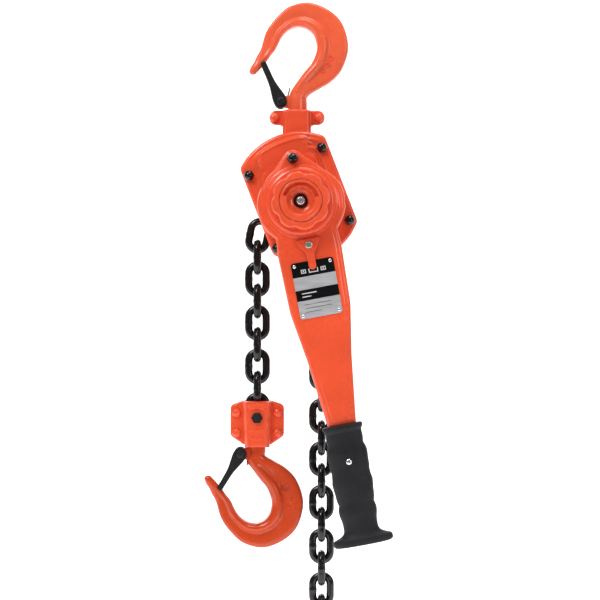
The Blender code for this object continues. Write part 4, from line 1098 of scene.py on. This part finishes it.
def bottom_block():
    """Two forged halves, riveted at four ears round the chain pin and the hook's shank."""
    low_corner, high_corner = box_mm("bottom_block_front")
    low = low_corner.z
    top = high_corner.z
    pin_z = middle("chain_pin").z
    at = (middle("bottom_block_front").x, 0.0, 0.0)
    ears = rounded(mirrored([(-19.0, -573.0, 3.0), (-36.7, -561.0, 7.0), (-36.7, -519.0, 7.0),
            (-20.0, top, 4.0)]))
    foot = rounded(mirrored([(-20.0, -553.5, 1.0), (-20.0, -573.0, 2.0)]))
    panel = mirrored([(-17.0, low), (-19.5, top)])
    # How far the panel's sides and ends have come in, and y.
    bevel = [(0.0, 0.0, 9.0), (0.0, 0.0, 14.6), (0.1, 0.1, 15.4), (0.5, 0.3, 16.2), (3.4, 0.5, 19.9),
            (4.0, 0.8, 20.6), (4.8, 1.4, 20.95), (5.2, 1.8, 21.0)]
    brow = rounded([(0.0, -523.6, 6.0)] + mirrored([(-5.0, -525.0, 3.0), (-9.5, -524.5, 2.0),
            (-13.5, -520.0, 1.8), (-13.5, -516.0, 1.8)]))
    lower = rounded(mirrored([(-13.4, low + 2.0, 1.7), (-14.6, -551.0, 1.7)]))
    tab = rounded(mirrored([(-9.2, -566.6, 1.4), (-9.2, -562.8, 1.4)]))
    for side, which in ((FRONT, "front"), (REAR, "rear")):
        parts = [slab(ears, side * 5.9, side * BLOCK_EAR, 0.3, 2.0)]
        for s in (-1.0, 1.0):
            wall = rounded([(s * 36.2, -561.0, 7.0), (s * 36.2, -519.0, 7.0), (s * 21.0, -517.0, 2.0),
                    (s * 21.0, -571.0, 2.0)])
            parts.append(slab(wall, side * HALF_GAP, side * 6.4, 0.3, 0.3))
        rings = []
        for dx, dz, y in bevel:
            rings.append([(x - copysign(dx, x), side * y, z + (dz if z == low else -dz)) for x, z in panel])
        parts += [slab(foot, side * HALF_GAP, side * 8.0, 0.3, 0.3), skin(rings)]
        for outline, inner, outer, soft, rim in ((brow, 20.4, 22.4, 0.3, 1.2), (lower, 20.4, 21.8, 0.3, 0.9),
                (tab, 21.4, 22.7, 0.2, 0.7)):
            parts.append(slab(outline, side * inner, side * outer, soft, rim))
        piece("block_half_" + which, parts, PAINT, "block", ["bottom_block_" + which],
              at=at)
    for corner in ("upper_left", "upper_right", "lower_left", "lower_right"):
        spot = middle("block_rivet_" + corner)
        heads = domes_both_sides(spot.x, spot.z, BLOCK_EAR, 5.0, 6.2, 0.8)
        piece("block_rivet_head_" + corner, heads, PAINT, "block",
              ["block_rivet_" + corner])
    on_pin = (0.0, pin_z)
    head = hex_head(0.0, pin_z, -20.5, 6.9, 4.6, FRONT)
    dimple = lathe([(-25.0, 3.4, 0.0), (-25.5, 3.2, 0.3), (-25.5, 0.3, 0.0)], 32, centre=on_pin)
    shaft = lathe([(-20.6, 4.7, 0.0), (22.6, 4.7, 0.8), (23.4, 4.0, 0.3), (23.4, 0.3, 0.0)], 32,
            centre=on_pin)
    piece("chain_pin_bolt", [head, dimple, shaft], SATIN_BLACK, "block", ["chain_pin"],
          at=at)


# ---- chain ----

def chain_link(name, body, x, z, edge_on, tilt=0.0, replaced=()):
    turn = Matrix.Rotation(radians(tilt), 4, "Y")
    if edge_on:
        turn = turn @ Matrix.Rotation(pi / 2.0, 4, "Z")
    piece(name, link_mesh(), CHAIN_BLACK, body, replaced,
          matrix=Matrix.Translation((x, 0.0, z)) @ turn, sharp=60.0)


def link_mesh():
    """A welded link: the legs are thicker than the crowns, and one swells a little at the weld."""
    sides = 20
    arc_steps = 16
    leg_steps = 8
    straight = LINK_HALF - LINK_END
    spots = []
    for end in (1.0, -1.0):
        for k in range(arc_steps + 1):
            a = pi * k / arc_steps
            spots.append((LINK_END * cos(a) * end, (straight + LINK_END * sin(a)) * end,
                    cos(a) * end, sin(a) * end, LEG_SWELL * abs(cos(a))))
        for k in range(1, leg_steps):
            z = straight * end * (1.0 - 2.0 * k / leg_steps)
            weld = LEG_SWELL + (0.45 * exp(-(z / 2.2) ** 2) if end > 0 else 0.0)
            spots.append((-LINK_END * end, z, -end, 0.0, weld))
    rings = []
    for x, z, nx, nz, swell in spots:
        r = LINK_WIRE / 2.0 + swell
        rings.append([(x + nx * r * cos(tau * s / sides), r * sin(tau * s / sides),
                z + nz * r * cos(tau * s / sides)) for s in range(sides)])
    return skin(rings, True)


def run_of_links(node):
    """Number of links in a joined run, and the height of the first one's centre."""
    low, high = box_mm(node)
    count = round((high.z - low.z - 2.0 * LINK_HALF - LINK_WIRE) / PITCH) + 1
    return count, (high.z + low.z) / 2.0 + PITCH * (count - 1) / 2.0


def chains():
    for k in range(1, 10):
        node = "load_link_%d" % k
        spot = middle(node)
        tilt = 11.0 if k == 1 else 0.0
        chain_link("load_chain_link_%d" % k, node, spot.x, spot.z, k % 2 == 0, tilt, [node])
    slack_x = middle("slack_chain_upper").x
    number = 0
    for half in ("upper", "lower"):
        node = "slack_chain_" + half
        count, first = run_of_links(node)
        for k in range(count):
            chain_link("slack_chain_link_%02d" % (number + 1), "slack_" + half, slack_x, first - PITCH * k,
                    number % 2 == 0, replaced=[node] if k == 0 else ())
            number += 1
    ring = middle("end_ring")
    line = at_depth(0.0, circle(0.0, 0.0, 15.0, 64))
    piece("slack_end_ring", tube(line, 3.95, 16, True), STEEL, "end_ring", ["end_ring"],
          at=(ring.x, 0.0, ring.z), sharp=60.0)


# ---- carried-over nodes ----

def dress_frame_nodes():
    """The machinery between the plates keeps its solid shapes and gets real finishes."""
    bright = ["suspension_pin", "load_gear", "idler_gear_upper", "idler_gear_lower", "pinion_shaft",
            "brake_hub"]
    bright += ["stay_bolt_" + corner for corner in CORNERS]
    oiled = ["chain_guide", "load_sheave", "ratchet_disc", "brake_pawl", "drive_gear", "changeover_pawl"]
    for finish, names in ((STEEL, bright), (DARK_STEEL, oiled)):
        for name in names:
            node = frame["nodes"][name]
            node.data.materials.clear()
            node.data.materials.append(finish)
            bevel = node.modifiers.new("soft edges", "BEVEL")
            bevel.width = 0.35 * MM
            bevel.segments = 2
            bevel.limit_method = "ANGLE"
            bevel.angle_limit = radians(40.0)


# ---- studio, in metres ----

def studio_material():
    """Glowing white paper that can't be seen from behind."""
    n = Nodes("studio_paper")
    n.colour(n.mix(n.noise(2.0, 3.0), (0.93, 0.93, 0.93), (0.95, 0.95, 0.95)))
    n.set(Roughness=0.9, Specular_IOR_Level=0.1, Emission_Strength=0.75)
    n.shader.inputs["Emission Color"].default_value = WHITE
    clear = n.tree.nodes.new("ShaderNodeBsdfTransparent")
    back = n.tree.nodes.new("ShaderNodeNewGeometry").outputs["Backfacing"]
    mix = n.tree.nodes.new("ShaderNodeMixShader")
    out = n.tree.nodes["Material Output"]
    n.link(back, mix.inputs[0])
    n.link(n.shader.outputs["BSDF"], mix.inputs[1])
    n.link(clear.outputs["BSDF"], mix.inputs[2])
    n.link(mix.outputs["Shader"], out.inputs["Surface"])
    return n.mat


def paper_sweep():
    """Pale paper under and behind the hanging hoist, with one wide bend."""
    floor_z = -0.93
    half_width = 7.0
    bend_y = 2.0
    bend = 1.6
    section = [(-1.0, 0.0), (bend_y, 0.0)]
    for a in quarter_turn(12)[1:]:
        section.append((bend_y + bend * sin(a), bend * (1.0 - cos(a))))
    section.append((bend_y + bend, 7.0))
    bm = bmesh.new()
    rows = [[bm.verts.new((x, y, floor_z + z)) for y, z in section] for x in (-half_width, half_width)]
    for i in range(len(section) - 1):
        bm.faces.new((rows[0][i], rows[1][i], rows[1][i + 1], rows[0][i + 1]))
    mesh = bpy.data.meshes.new("paper_sweep")
    bm.to_mesh(mesh)
    bm.free()
    mesh.materials.append(studio_material())
    mesh.shade_smooth()
    put("paper_sweep", mesh)


def softbox(name, at, size, power):
    light = bpy.data.lights.new(name, "AREA")
    light.shape = "RECTANGLE"
    light.size = size
    light.size_y = size * 1.2
    light.energy = power
    obj = put(name, light)
    obj.location = at
    aim = Vector(HOIST_MIDDLE) - Vector(at)
    obj.rotation_euler = aim.to_track_quat("-Z", "Y").to_euler()


def studio():
    paper_sweep()
    world = bpy.data.worlds.new("studio")
    bpy.context.scene.world = world
    world.use_nodes = True
    background = world.node_tree.nodes["Background"]
    background.inputs["Color"].default_value = WHITE
    background.inputs["Strength"].default_value = 0.18
    softbox("key", (-1.3, -1.7, 1.5), 0.8, 41.5)
    softbox("fill", (1.9, -2.0, 0.2), 0.7, 10.5)
    softbox("top", (0.3, -0.5, 1.7), 0.9, 23.0)
    softbox("rear", (-0.9, 2.1, 0.9), 1.2, 24.0)


def camera():
    view = bpy.data.cameras.new("camera")
    view.lens = 119.9
    view.sensor_width = 36.0
    obj = put("camera", view)
    obj.location = CAMERA_AT
    obj.rotation_euler = (pi / 2.0, 0.0, 0.0)
    bpy.context.scene.camera = obj


camera()
studio()
hooks()
yoke()
side_plates()
front_cover()
gear_case()
cap_nuts()
lever_arm()
selector()
name_plate()
grip()
hand_wheel()
bottom_block()
chains()
dress_frame_nodes()

bpy.context.scene.view_settings.view_transform = "Standard"
